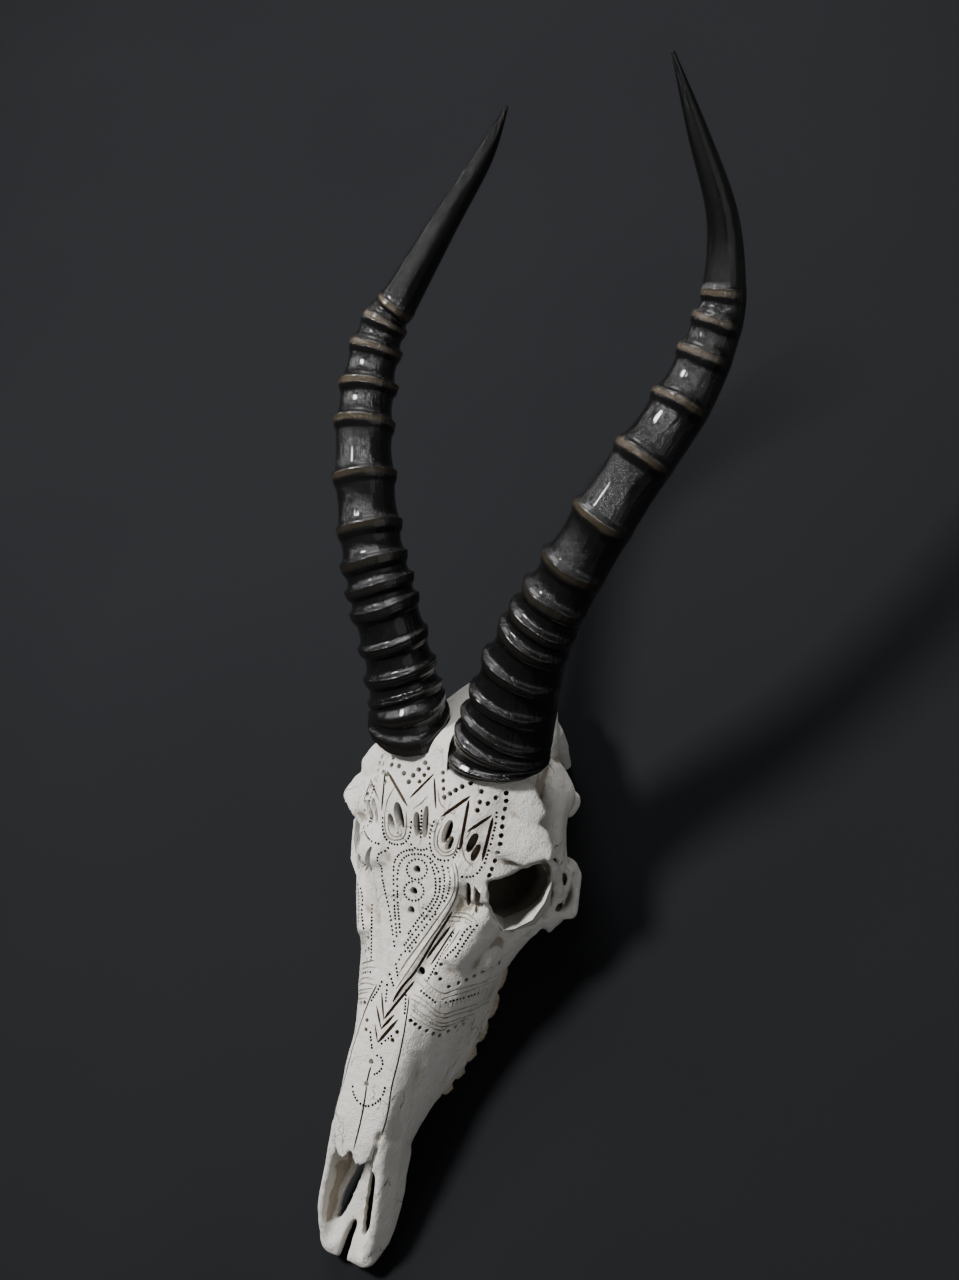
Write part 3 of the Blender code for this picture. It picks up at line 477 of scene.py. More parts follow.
def side_bones():
    """The bones of the left side that stand out from the face and the braincase, as closed bodies."""
    return [
        orbit_rim("orbit rim"),
        swept(
            "brow", ((22, 46, 96), (34, 44, 90), (43, 44, 84), (50, 46, 79)),
            ((17, 7), (18, 6.5), (16, 5), (13, 4))),
        swept(
            "brow front", ((25, 12, 75.5), (31, 20, 76.5), (38, 27, 77)), ((12, 6.5), (11, 6.5), (8, 5))),
        swept(
            "tear bone", ((25, -6, 66), (33, 11, 66), (41, 23, 62)), ((8, 13), (8, 14), (5, 12))),
        swept(
            "cheek root", ((29, -18, 40), (36, 4, 44), (44, 18, 46), (54, 34, 45)),
            ((7, 17), (8, 15), (6.5, 12), (4.5, 7))),
        swept(
            "socket back", ((30, 62, 80), (40, 60, 66), (52, 60, 54)), ((5, 18), (5, 15), (4, 8))),
        swept(
            "post bar", ((30, 74, 102), (41, 68, 92), (52, 60, 80), (58, 57, 65), (57.5, 56, 50)),
            ((8, 7), (8, 5.5), (7.5, 5.5), (6.5, 4.5), (6, 4))),
        swept(
            "cheek plate", ((58, 30, 40), (61.5, 45, 34), (62.5, 57, 36), (61, 66, 43)),
            ((2.4, 7), (2.2, 11), (2.2, 10), (2.2, 7))),
        plate("hinge plate", HINGE_PLATE, HINGE_PLATE_DEPTH),
        swept(
            "temple", ((40, 58, 66), (49, 69, 58), (47, 84, 58), (45, 98, 60), (38, 112, 62)),
            ((8, 7), (8, 6), (8.5, 7), (7.5, 9), (6, 9))),
        swept(
            "brow wing", ((28, 68, 102), (42, 66, 95), (52, 64, 89), (60, 62.5, 83.5), (65.5, 62.5, 81)),
            ((13, 4.5), (13.5, 4.5), (12.5, 4.5), (10.5, 4), (5, 3))),
        swept(
            "brow slope", ((26, 87, 106), (40, 85, 99), (48, 80, 94), (53, 75.5, 89)),
            ((14, 5), (12, 5), (10, 4.5), (8.5, 4))),
        socket_cup(),
        swept(
            "cheek arch", ((59, 60, 47), (54.5, 75, 51), (50, 89, 54), (47, 101, 55), (34, 112, 56)),
            ((2.8, 6.5), (2.8, 5), (4, 5.5), (7, 8.5), (7, 9))),
        swept(
            "jaw seat", ((36, 100, 40), (46, 98, 43), (53, 97, 46)), ((8, 5), (9, 4.5), (7, 4))),
        ellipsoid("ear bulla", (19, 110, 25), (8, 12, 11)),
        swept(
            "neck process", ((22, 134, 46), (22, 131, 30), (21, 128, 14), (20, 126, 1.2)),
            ((9, 8), (7, 6), (5.5, 4.5), (3.4, 3)), up=(0, 1, 0)),
        ellipsoid("condyle", (10.5, 153, 44), (8, 10, 12)),
        swept(
            "wing of the throat", ((14, 30, 26), (15, 44, 20), (16, 62, 20), (17, 84, 27)),
            ((2.2, 7), (2.0, 12), (2.0, 12), (3, 7))),
        swept(
            "tooth ridge", ((17, -76, 17), (21, -56, 14), (23.5, -30, 13), (23.5, 6, 14), (21, 18, 19)),
            ((4, 6), (7, 7), (8, 7.5), (8, 7.5), (4, 6))),
        nose_side(),
        nose_floor(),
        ellipsoid("nose tip", (11, -160.5, 12.4), (8.6, 12, 5.6)),
    ]


def socket_cup():
    """Half a ball of bone behind the orbit, which the eye socket then hollows to a cup."""
    side = ORBIT_NORMAL.cross(Vector((0, 0, 1))).normalized()
    rise = side.cross(ORBIT_NORMAL)
    radius = EYE_SOCKET_RADIUS + SOCKET_WALL
    rings = []
    for degrees in (70, 90, 110, 130, 150, 170):
        turn = math.radians(degrees)
        flat = [(side * math.cos(a) + rise * math.sin(a)) * radius * math.sin(turn)
                for a in (2 * math.pi * i / 28 for i in range(28))]
        rings.append([SOCKET_MIDDLE + ORBIT_NORMAL * radius * math.cos(turn) + point for point in flat])
    return closed_skin("socket cup", rings)


def nose_side():
    """The upright plate of the left premaxilla, from the maxilla forward and down to its tip."""
    keys = (
        (-104, 17.0, 50, 18.5, 19), (-120, 16.8, 43.5, 19.8, 15), (-132, 17.3, 38, 21.0, 12.5),
        (-147, 18.0, 31, 21.2, 10), (-158, 16.8, 24, 19.4, 8.4), (-167, 13.2, 17, 14.6, 8.6),
    )
    rings = []
    steps = 20
    for step in range(steps + 1):
        y, top_x, top_z, low_x, low_z = along([Vector(k) for k in keys], step / steps)
        thick = 2.3 - 0.3 * step / steps
        middle = ((top_x + low_x) / 2, (top_z + low_z) / 2)
        rings.append([
            (top_x - thick, y, top_z), (top_x, y, top_z + 0.9), (top_x + 1.4, y, top_z - 1.6),
            (middle[0] + 2.6, y, middle[1] + 1), (low_x + 1.5, y, low_z + 3), (low_x, y, low_z),
            (low_x - 2.6 * thick, y, low_z), (low_x - 2.6 * thick, y, low_z + 4),
            (middle[0] - 1.6 * thick, y, middle[1]), (top_x - 1.6 * thick, y, top_z - 2),
        ])
    return closed_skin("nose side", rings)


def nose_floor():
    """The flat palate part of the left premaxilla with its rounded front end."""
    keys = (
        (-108, 17, 19, 24.5), (-122, 18.5, 15.5, 20.5), (-136, 19.8, 12, 17), (-149, 20.4, 9.5, 14.5),
        (-159, 19.6, 8, 13.4), (-167, 16.6, 7.6, 12.6), (-172.4, 10.0, 8.2, 11.6),
    )
    rings = []
    steps = 24
    for step in range(steps + 1):
        y, wide, low, high = along([Vector(k) for k in keys], step / steps)
        inner = 0.1
        rings.append([
            (inner, y, low + 0.6), (inner, y, high), (wide - 2, y, high + 0.6), (wide, y, high - 1),
            (wide, y, low + 1.4), (wide - 2, y, low), (inner + 2.4, y, low),
        ])
    return closed_skin("nose floor", rings)


def mirrored(mesh):
    other = mesh.copy()
    other.transform(Matrix.Scale(-1, 4, Vector((1, 0, 0))))
    other.flip_normals()
    return other


def horn_frame(side, share):
    """The sheath's middle, its tangent and the normal of its ring plane at a share of its length."""
    route = [Vector(p) for p in HORN_ROUTES[side]]
    outward = 1.0 if side == "left" else -1.0
    tangent = (along(route, min(share + 0.01, 1.0)) - along(route, max(share - 0.01, 0.0))).normalized()
    base_normal = HORN_BASE_NORMALS[side]
    lean = max(0.0, 1.0 - share / 0.12)
    normal = tangent + Vector((0.3 * outward, 0, 0)) * max(0.0, 1.0 - share / 0.5)
    normal = normal.normalized().lerp(base_normal.normalized(), lean).normalized()
    return along(route, share), tangent, normal


def horn_ring(side, share, grow, sides):
    """Points of one plain ring of the sheath in its leaning plane."""
    middle, long_way, short_way, tangent, normal, _ = horn_station(side, share)
    radius = along(HORN_RADII, share)
    flatness = along(HORN_FLATNESS, share)
    ring = []
    for i in range(sides):
        turn = 2 * math.pi * i / sides
        offset = long_way * (radius + grow) * math.cos(turn)
        offset += short_way * (radius * flatness + grow) * math.sin(turn)
        offset -= tangent * (offset.dot(normal) / tangent.dot(normal))
        ring.append(middle + offset)
    return ring


def horn_station(side, share):
    """The sheath's middle, its two oval directions, tangent, ring normal and most ringed side."""
    middle, tangent, normal = horn_frame(side, share)
    outward = 1.0 if side == "left" else -1.0
    across = tangent.cross(Vector((0, 0, 1))).normalized() * outward
    across = across if across.x * outward > 0 else -across
    rise = across.cross(tangent).normalized()
    rise = rise if rise.z > 0 else -rise
    long_way = across * math.cos(HORN_OVAL_TURN) + rise * math.sin(HORN_OVAL_TURN)
    short_way = rise * math.cos(HORN_OVAL_TURN) - across * math.sin(HORN_OVAL_TURN)
    front = Vector((-0.55 * outward, -0.5, 0.67))
    return middle, long_way, short_way, tangent, normal, front


def horn_core(side):
    """The short core of bone that fills the foot of the sheath."""
    rings = []
    for i in range(9):
        share = CORE_START + (CORE_REACH - CORE_START) * i / 8
        narrowing = -SHEATH_WALL - 0.6 - 0.4 * along(HORN_RADII, share) * (i / 8) ** 3
        rings.append(horn_ring(side, max(share, 0.0), narrowing, 32))
    tangent = horn_frame(side, 0.0)[1]
    rings[0] = [point + tangent * CORE_START * HORN_LENGTH for point in rings[0]]
    return closed_skin("horn core", rings)


def horn_clearance(side):
    """The sheath's lower end with room round it, to be cut out of the bone."""
    tangent = horn_frame(side, 0.0)[1]
    rings = [[point - tangent * 0.6 for point in horn_ring(side, 0.0, 2.5, 32)]]
    rings += [horn_ring(side, share, 2.5, 32) for share in (0.03, 0.08, 0.13, 0.2)]
    return closed_skin("sheath room " + side, rings)


def sheath_lengths(side, count):
    """Distance from the base in millimetres at evenly stepped shares."""
    middles = [horn_frame(side, i / count)[0] for i in range(count + 1)]
    lengths = [0.0]
    for low, high in zip(middles, middles[1:]):
        lengths.append(lengths[-1] + (high - low).length)
    return np.array(lengths)


def ring_relief(distance, turns, crests, settings, dice):
    """Height of the rings over the plain sheath and how near a crest each point is."""
    height = np.zeros_like(turns)
    crest = np.zeros_like(turns)
    for number, place in enumerate(crests):
        waver = 0.0
        for order in (1, 2, 3, 5, 8):
            waver = waver + dice.normal() * 0.45 / order * np.sin(order * turns + dice.uniform(0, 6.28))
        below = place - crests[number - 1] if number else 9.0
        band = min(settings.band_width * 1000, 0.5 * below)
        lip = settings.ring_height * 1000 * (1.0 if number < 12 else 1.0 - 0.25 * (number - 11))
        lip *= 1 + 0.12 * np.sin(2 * turns + number) + 0.1 * np.sin(5 * turns + 2.1 * number)
        t = distance - place - waver
        under = np.clip(-t / band, 0, 1)
        rounded = (1 - under**2.4) ** 0.75 * (0.80 + 0.20 * np.exp(-(t / 0.9) ** 2))
        over = np.exp(-(np.maximum(t, 0) / 1.5) ** 2)
        shape = np.where(t <= 0, rounded, over)
        fine = 0.14 * np.cos(2 * math.pi * t / 1.9) * np.exp(-((t + 2.4) / 2.4) ** 2)
        height = np.maximum(height, lip * shape) + lip * 0.5 * fine
        crest = np.maximum(crest, np.exp(-((t + 1.6) / 2.4) ** 2))
    for low, high in zip(crests, crests[1:]):
        gap = high - low
        share = np.clip((distance - low) / max(gap - 3.0, 2.0), 0, 1)
        height -= settings.waist * 1000 * min(gap / 16, 1.0) * np.sin(math.pi * share) ** 1.4
    return height, crest


def sheath_rings(side, settings):
    """The rows of points of the sheath's ringed outside, from its base to its tip, with how near a crest each
    point is.
    """
    stations, sides = settings.stations, settings.sides
    dice = np.random.default_rng(11 if side == "left" else 12)
    lengths = sheath_lengths(side, stations)
    crests = [float(np.interp(place * stations, range(stations + 1), lengths)) for place in RING_PLACES]
    turns = 2 * math.pi * np.arange(sides) / sides
    distance = np.repeat(lengths[:, None], sides, axis=1)
    grid = np.repeat(turns[None, :], stations + 1, axis=0)
    height, crest = ring_relief(distance, grid, crests, settings, dice)
    rows = []
    for i in range(stations + 1):
        share = i / stations
        middle, long_way, short_way, tangent, normal, front = horn_station(side, share)
        ways = np.outer(np.cos(turns), long_way) + np.outer(np.sin(turns), short_way)
        facing = np.clip((ways @ np.array(front) + 0.75) / 0.9, 0.12, 1.0)
        height[i] *= facing
        crest[i] *= facing
        radius = along(HORN_RADII, share)
        flatness = along(HORN_FLATNESS, share)
        grooves = 0.10 * np.sin(17 * turns + 2.0 * math.sin(lengths[i] / 31)) * min(1.0, radius / 12)
        grooves += 0.07 * np.sin(41 * turns + 3.0 * math.sin(lengths[i] / 17 + 1))
        lift = (height[i] + grooves * (1 - share)) * min(1.0, radius / 5)
        offset = np.outer((radius + lift) * np.cos(turns), long_way)
        offset += np.outer((radius * flatness + lift) * np.sin(turns), short_way)
        slide = offset @ np.array(normal) / tangent.dot(normal)
        rows.append(np.array(middle) + offset - np.outer(slide, tangent))
    ragged = 0.5 * np.sin(3 * turns) + 0.35 * np.sin(7 * turns + 1) + 0.3 * np.sin(13 * turns + 2)
    rows[0] = rows[0] + np.outer(ragged, horn_frame(side, 0.0)[1])
    return rows, crest, lengths, turns


def make_horn(side, settings, material):
    rows, crest, lengths, turns = sheath_rings(side, settings)
    sides = len(turns)
    inner = []
    for i in range(9):
        share = CAVITY_REACH * i / 8
        narrowing = -SHEATH_WALL - 0.5 * along(HORN_RADII, share) * (i / 8) ** 3
        inner.append(np.array([tuple(p) for p in horn_ring(side, share, narrowing, sides)]))
    inner.reverse()
    points = np.concatenate(inner + rows)
    total = len(inner) + len(rows)
    faces = []
    for row in range(total - 1):
        for k in range(sides):
            n = (k + 1) % sides
            faces.append((row * sides + k, row * sides + n, (row + 1) * sides + n, (row + 1) * sides + k))
    faces.append(tuple(range(sides))[::-1])
    faces.append(tuple(range((total - 1) * sides, total * sides)))
    mesh = bpy.data.meshes.new("horn sheath " + side)
    mesh.from_pydata([tuple(p) for p in (points + np.array(SHIFT)) * MM], [], faces)
    build = bmesh.new()
    build.from_mesh(mesh)
    bmesh.ops.recalc_face_normals(build, faces=build.faces)
    build.to_mesh(mesh)
    build.free()
    flat = np.concatenate([np.zeros(len(inner) * sides), crest.ravel()])
    mark(mesh, "crest", flat)
    length = np.concatenate([np.zeros(len(inner) * sides), np.repeat(lengths, sides)])
    mark(mesh, "length", length)
    mark(mesh, "turn", np.tile(turns, total))
    mesh.shade_smooth()
    mesh.materials.append(material)
    horn = placed("horn_sheath_" + side, mesh)
    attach(horn, "root")
    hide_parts("horn_" + side)
    return horn


def eye_sockets():
    left = ellipsoid("eye socket", SOCKET_MIDDLE, (EYE_SOCKET_RADIUS,) * 3)
    return [left, mirrored(left)]


def tooth_trough(side):
    """The long socket that holds one row of cheek teeth with a little room round each."""
    rings = []
    y = TOOTH_ROW_START
    outers = [outer for _, outer in TEETH]
    for index in range(len(TEETH) + 1):
        near = outers[max(index - 1, 0):index + 1] or outers[:1]
        out = max(near) + 1.3
        inn = min(near) - TOOTH_WIDTH - 0.8
        place = y + (-0.4 if index == 0 else 0.4 if index == len(TEETH) else 0.0)
        rings.append([(x * side, place, z) for x, z in (
            (out, -6), (out, TOOTH_HEIGHT), (out - 1, TOOTH_HEIGHT + SOCKET_GAP + 0.2),
            (inn + 1, TOOTH_HEIGHT + SOCKET_GAP + 0.2), (inn, TOOTH_HEIGHT), (inn, -6))])
        if index < len(TEETH):
            y += TEETH[index][0]
    return closed_skin("tooth trough", rings)


def hollows():
    """The natural openings of the skull, in the order in which they are cut."""
    slits = [
        swept("palate slit", ((4.0, -111, 22), (3.8, -121, 18), (4.4, -132, 15), (5.6, -143, 12),
                              (6.6, -156, 11)),
              ((0.9, 9), (2.9, 9), (3.5, 9), (3.1, 9), (1.2, 8)), sides=12, steps=10),
        swept("palate slit", ((-5.6, -115, 21), (-7.0, -125, 17), (-8.8, -134, 14), (-10.4, -143, 12),
                              (-11.2, -153, 11)),
              ((0.9, 9), (2.3, 9), (3.1, 9), (3.3, 9), (1.4, 8)), sides=12, steps=10),
    ]
    notch = swept("front notch", ((-1.2, -150, 12), (-2, -158, 11), (-2, -179, 10)),
                  ((1.1, 9), (2.6, 9), (2.4, 9)), sides=10, steps=6)
    brain = ellipsoid("brain hollow", *BRAIN_HOLLOW)
    rear = swept("rear opening", ((0, 130, 58), (0, 150, 54), (0, 176, 48)), ((9, 8), (8.5, 8), (9, 8)),
                 sides=12, steps=4)
    throat = swept("throat", ((0, 16, 38), (0, 34, 27), (0, 44, 19), (0, 54, 6)),
                   ((11, 8), (11.5, 9), (11, 10), (11, 12)), sides=12, steps=8)
    nose = face_skin("nose hollow", NOSE_HOLLOW_SECTIONS, 20)
    mouth = closed_skin("orbit mouth", (seen_points(ORBIT_LIP), seen_points(ORBIT_THROAT)))
    return [
        ("nose hollow", [nose]), ("palate slits", slits), ("front notch", [notch]),
        ("brain hollow", [brain]), ("rear opening", [rear]), ("throat", [throat]),
        ("eye sockets", eye_sockets()), ("orbit mouths", [mouth, mirrored(mouth)]),
    ]


def points_of(mesh):
    """The mesh's points as an array, in millimetres in the skull's own frame."""
    flat = np.empty(len(mesh.vertices) * 3, dtype=np.float32)
    mesh.vertices.foreach_get("co", flat)
    return flat.reshape(-1, 3).astype(np.float64) / MM - np.array(SHIFT)


def put_points(mesh, points):
    flat = ((points + np.array(SHIFT)) * MM).astype(np.float32).ravel()
    mesh.vertices.foreach_set("co", flat)
    mesh.update()


def normals_of(mesh):
    flat = np.empty(len(mesh.vertices) * 3, dtype=np.float32)
    mesh.vertices.foreach_get("normal", flat)
    return flat.reshape(-1, 3).astype(np.float64)


def neighbour_mean(mesh, values):
    """For each point, the mean of a value over the points that an edge joins it to."""
    pairs = np.empty(len(mesh.edges) * 2, dtype=np.int32)
    mesh.edges.foreach_get("vertices", pairs)
    a, b = pairs[0::2], pairs[1::2]
    count = np.bincount(a, minlength=len(values)) + np.bincount(b, minlength=len(values))
    columns = []
    for column in np.atleast_2d(values.T):
        total = np.bincount(a, column[b], len(values)) + np.bincount(b, column[a], len(values))
        columns.append(total / np.maximum(count, 1))
    mean = np.array(columns).T
    return mean if values.ndim > 1 else mean[:, 0]


def lumps(points, size, seed, waves=14):
    """Smooth unevenness from -1 to 1 whose lumps are about size millimetres wide."""
    dice = np.random.default_rng(seed)
    ways = dice.normal(size=(waves, 3))
    ways /= np.linalg.norm(ways, axis=1)[:, None]
    steps = 2 * math.pi / (size * dice.uniform(1.4, 2.8, waves))
    phases = dice.uniform(0, 2 * math.pi, waves)
    return np.sin(points @ (ways * steps[:, None]).T + phases).sum(axis=1) / math.sqrt(waves) / 1.4


def mark(mesh, name, values):
    """Keep one number for each point, for the finish to read."""
    layer = mesh.attributes.get(name) or mesh.attributes.new(name, "FLOAT", "POINT")
    layer.data.foreach_set("value", values.astype(np.float32))


def smooth_step(low, high, values):
    share = np.clip((values - low) / (high - low), 0.0, 1.0)
    return share * share * (3 - 2 * share)


def joined(name, meshes, material=None):
    """One object from several closed bodies, moved to the shared frame."""
    build = bmesh.new()
    for mesh in meshes:
        build.from_mesh(mesh)
    whole = finished(name, build)
    whole.transform(Matrix.Translation(SHIFT * MM))
    if material:
        whole.materials.append(material)
    return placed(name, whole)


def cut(target, name, meshes, operation="DIFFERENCE", material=None):
    cutter = joined(name, meshes, material)
    change = target.modifiers.new(name, "BOOLEAN")
    change.operation = operation
    change.solver = "MANIFOLD"
    change.object = cutter
    return cutter


def reskin(target, voxel, smoothing):
    skin = target.modifiers.new("one skin", "REMESH")
    skin.mode = "VOXEL"
    skin.voxel_size = voxel * MM
    smooth = target.modifiers.new("worn smooth", "SMOOTH")
    smooth.factor = 0.5
    smooth.iterations = smoothing


def settle(target, cutters=()):
    """Apply the object's modifiers and clear away what they cut with."""
    depsgraph = bpy.context.evaluated_depsgraph_get()
    done = bpy.data.meshes.new_from_object(target.evaluated_get(depsgraph), depsgraph=depsgraph)
    target.modifiers.clear()
    target.data = done
    if not done.polygons:
        raise RuntimeError(target.name + " is empty after its cuts")
    for cutter in cutters:
        bpy.data.objects.remove(cutter, do_unlink=True)


class Sight:
    """Looks through a place of the photograph onto a surface, in the skull's own frame."""

    def __init__(self, mesh):
        points = points_of(mesh)
        faces = [tuple(face.vertices) for face in mesh.polygons]
        self.tree = BVHTree.FromPolygons([Vector(p) for p in points], faces)

    def look(self, x, y):
        point, normal, _, _ = self.tree.ray_cast(CAMERA_PLACE, sight_way(x, y).normalized())
        return (point, normal) if point else None

    def look_all(self, spots):
        """What is seen at each spot that has bone behind it."""
        return [seen for seen in (self.look(*spot) for spot in spots) if seen]

    def other_side(self, point):
        found, normal, _, _ = self.tree.find_nearest(Vector((-point.x, point.y, point.z)))
        return found, normal

    def other_sides(self, places):
        return [self.other_side(point) for point, _ in places]

    def places(self, route, step=4.0):
        """Points and normals on the surface along a route through the photograph."""
        route = [Vector(p) for p in route]
        length = sum((b - a).length for a, b in zip(route, route[1:]))
        count = max(int(length / step), 2)
        seen = self.look_all([along(route, i / count) for i in range(count + 1)])
        return spread_evenly(seen)


def spread_evenly(seen):
    """Leave out places where the sight line jumped over an edge onto something behind it."""
    kept = seen[:1]
    for point, normal in seen[1:]:
        if (point - kept[-1][0]).length < 5.0:
            kept.append((point, normal))
    return kept


def steady(places):
    """The places with each normal evened out against its neighbours."""
    done = []
    for i, (point, _) in enumerate(places):
        near = places[max(i - 2, 0):i + 3]
        normal = sum((n for _, n in near), Vector((0, 0, 0))).normalized()
        done.append((point, normal))
    return done


def groove(places, half_width, depth, sides=8):
    """A body that cuts a groove along places on the surface, narrower at its ends."""
    if len(places) < 2:
        return bpy.data.meshes.new("no groove")
    places = steady(places)
    rings = []
    last = len(places) - 1
    for i, (point, normal) in enumerate(places):
        tangent = (places[min(i + 1, last)][0] - places[max(i - 1, 0)][0]).normalized()
        across = tangent.cross(normal).normalized()
        taper = min(1.0, 0.35 + 0.65 * min(i, last - i) / 2)
        ring = []
        for k in range(sides):
            turn = 2 * math.pi * (k + 0.5) / sides
            ring.append(point + across * half_width * taper * math.cos(turn)
                        + normal * depth * taper * math.sin(turn))
        rings.append(ring)
    return closed_skin("groove", rings)


def drill(point, normal, radius, depth, sides=14, height=2.5):
    """A body that drills a round hole of a depth into the surface."""
    side = normal.cross(Vector((0, 1, 0.3))).normalized()
    rise = side.cross(normal)
    rings = []
    for along_normal, grow in ((-depth, 0.8), (-depth * 0.5, 0.95), (-0.4, 1.0), (height, 1.25)):
        ring = []
        for k in range(sides):
            turn = 2 * math.pi * k / sides
            way = side * math.cos(turn) + rise * math.sin(turn)
            ring.append(point + way * radius * grow + normal * along_normal)
        rings.append(ring)
    return closed_skin("drill", rings)


def slot(start, end, half_width, depth=7.5):
    """A body that cuts a slot with round ends, pointed a little, from one place to the other."""
    normal = (start[1] + end[1]).normalized()
    middle = (start[0] + end[0]) / 2
    long_way = end[0] - start[0]
    long_way -= normal * long_way.dot(normal)
    reach = max(long_way.length / 2, half_width + 0.3)
    long_way.normalize()
    across = normal.cross(long_way)
    rings = []
    for height, grow in ((-depth, 0.80), (-3.0, 0.9), (-0.7, 0.98), (3.5, 1.3)):
        ring = []
        for k in range(20):
            turn = 2 * math.pi * (k + 0.5) / 20
            bulge = abs(math.sin(turn)) ** 0.9 * math.copysign(1, math.sin(turn))
            point = long_way * (reach - half_width * (1 - grow)) * math.copysign(
                abs(math.cos(turn)) ** 0.8, math.cos(turn))
            ring.append(middle + point + across * half_width * grow * bulge + normal * height)
        rings.append(ring)
    return closed_skin("slot", rings)


def dotted(sight, route, spacing):
    """Evenly spaced places along a route through the photograph."""
    places = sight.places(route, 1.5)
    kept = places[:1]
    travelled = 0.0
    for (before, _), (point, normal) in zip(places, places[1:]):
        travelled += (point - before).length
        if travelled >= spacing:
            kept.append((point, normal))
            travelled -= spacing
    return kept


def apart(places, distance):
    """The places that keep a distance from all the earlier ones."""
    kept = []
    for point, normal in places:
        if all((point - other).length > distance for other, _ in kept):
            kept.append((point, normal))
    return kept


def both_sides(sight, places):
    return places + sight.other_sides(places)


def hole_places(sight):
    """All drilled holes of the carving: place, radius and depth."""
    found = []
    for spots, both, radius, depth in DRILLED:
        places = sight.look_all(spots)
        places = both_sides(sight, places) if both else places
        found += [(place, radius, depth) for place in places]
    kept = []
    for place, radius, depth in found:
        if all((place[0] - other[0]).length > radius + size + 0.15 for other, size, _ in kept):
            kept.append((place, radius, depth))
    return kept


def slot_bodies(sight):
    bodies = []
    for start, end, half_width in SLOTS_HERE:
        ends = sight.look_all((start, end))
        if len(ends) == 2:
            bodies.append(slot(ends[0], ends[1], half_width * SLOT_WIDENING))
    return bodies


def dot_places(sight, holes):
    """All small dots, kept clear of each other and of the drilled holes."""
    found = []
    for route in DOT_ROWS_HERE:
        found += dotted(sight, route, DOT_SPACING)
    for x, y, radius in DOT_CIRCLES:
        ring = [(x + radius * math.cos(a * math.pi / 9), y + radius * math.sin(a * math.pi / 9))
                for a in range(18)]
        found += sight.look_all(ring)
    for route in DOT_ROWS_BOTH:
        found += both_sides(sight, dotted(sight, route, DOT_SPACING))
    found = apart(found, 1.45)
    return [(p, n) for p, n in found if all((p - h[0][0]).length > h[1] + 0.8 for h in holes)]


def line_bodies(sight):
    """Each incised line is its own body, because crossing bodies can't be cut as one."""
    bodies = []
    for start, end, half_width in CUTS_HERE:
        bodies.append((True, groove(sight.places((start, end)), half_width, half_width * 2.6)))
    for route, half_width, both in LINES:
        places = sight.places(route)
        bodies.append((half_width > 0.65, groove(places, half_width, half_width * 2.4)))
        if both:
            bodies.append((False, groove(sight.other_sides(places), half_width, half_width * 2.4)))
    bodies.append((True, groove(sight.places(MIDDLE_SEAM), 0.55, 1.6)))
    places = sight.places(SIDE_SEAM)
    bodies.append((True, groove(places, 0.5, 1.3)))
    bodies.append((True, groove(sight.other_sides(places), 0.5, 1.3)))
    return bodies


def ladder_bodies(sight):
    """The short cross bars between the lines of the cheek's bands."""
    bodies = []
    for a, b, c, d, count in LADDERS_BOTH:
        for i in range(count):
            share = (i + 0.5) / count
            start = Vector(a).lerp(Vector(b), share)
            end = Vector(c).lerp(Vector(d), share)
            places = sight.places((start, start.lerp(end, 0.9)), 3.0)
            bodies.append(groove(places, 0.4, 0.8, sides=6))
            bodies.append(groove(sight.other_sides(places), 0.4, 0.8, sides=6))
    return bodies


def nose_openings():
    """The free ends of the nasal bones, cut to two rounded tips, and the pockets behind the orbits."""
    low = [Vector((x, y, max(44.0, 44.0 + (y + 118) * 0.5))) for x, y in NASAL_END]
    high = [Vector((x, y, 66.0)) for x, y in NASAL_END]
    end = closed_skin("nasal end", (low, high))
    pocket = plate("hinge pocket", HINGE_POCKET, HINGE_POCKET_DEPTH)
    return [("nasal end left", [end]), ("nasal end right", [mirrored(end)]),
            ("hinge pockets", [pocket, mirrored(pocket)])]


def orbit_flanges():
    """The sloping inner face of the orbit's lower and outer wall, from the rim in to the throat."""
    rings = []
    for low, lip in list(zip(seen_points(ORBIT_THROAT), seen_points(ORBIT_LIP)))[4:12]:
        high = low.lerp(lip, 0.5)
        ring = [low, high]
        for share in (1.0, 0.5, 0.0):
            inner = low.lerp(high, share)
            way = inner - SOCKET_MIDDLE
            ring.append(SOCKET_MIDDLE + way.normalized() * max(21.3, way.length + 1.0))
        rings.append(ring)
    left = closed_skin("orbit flange", rings)
    return [left, mirrored(left)]


def brow_end():
    """The swelling at the end of the right brow, which the left side doesn't have."""
    return ellipsoid("brow end", (-54, 60, 82.5), (12, 15, 7.5))


def cheek_fills():
    """The rounding of the cheek below the orbit."""
    left = ellipsoid("cheek fill", (37, 9, 55), (6.5, 14, 10))
    return [left, mirrored(left)]


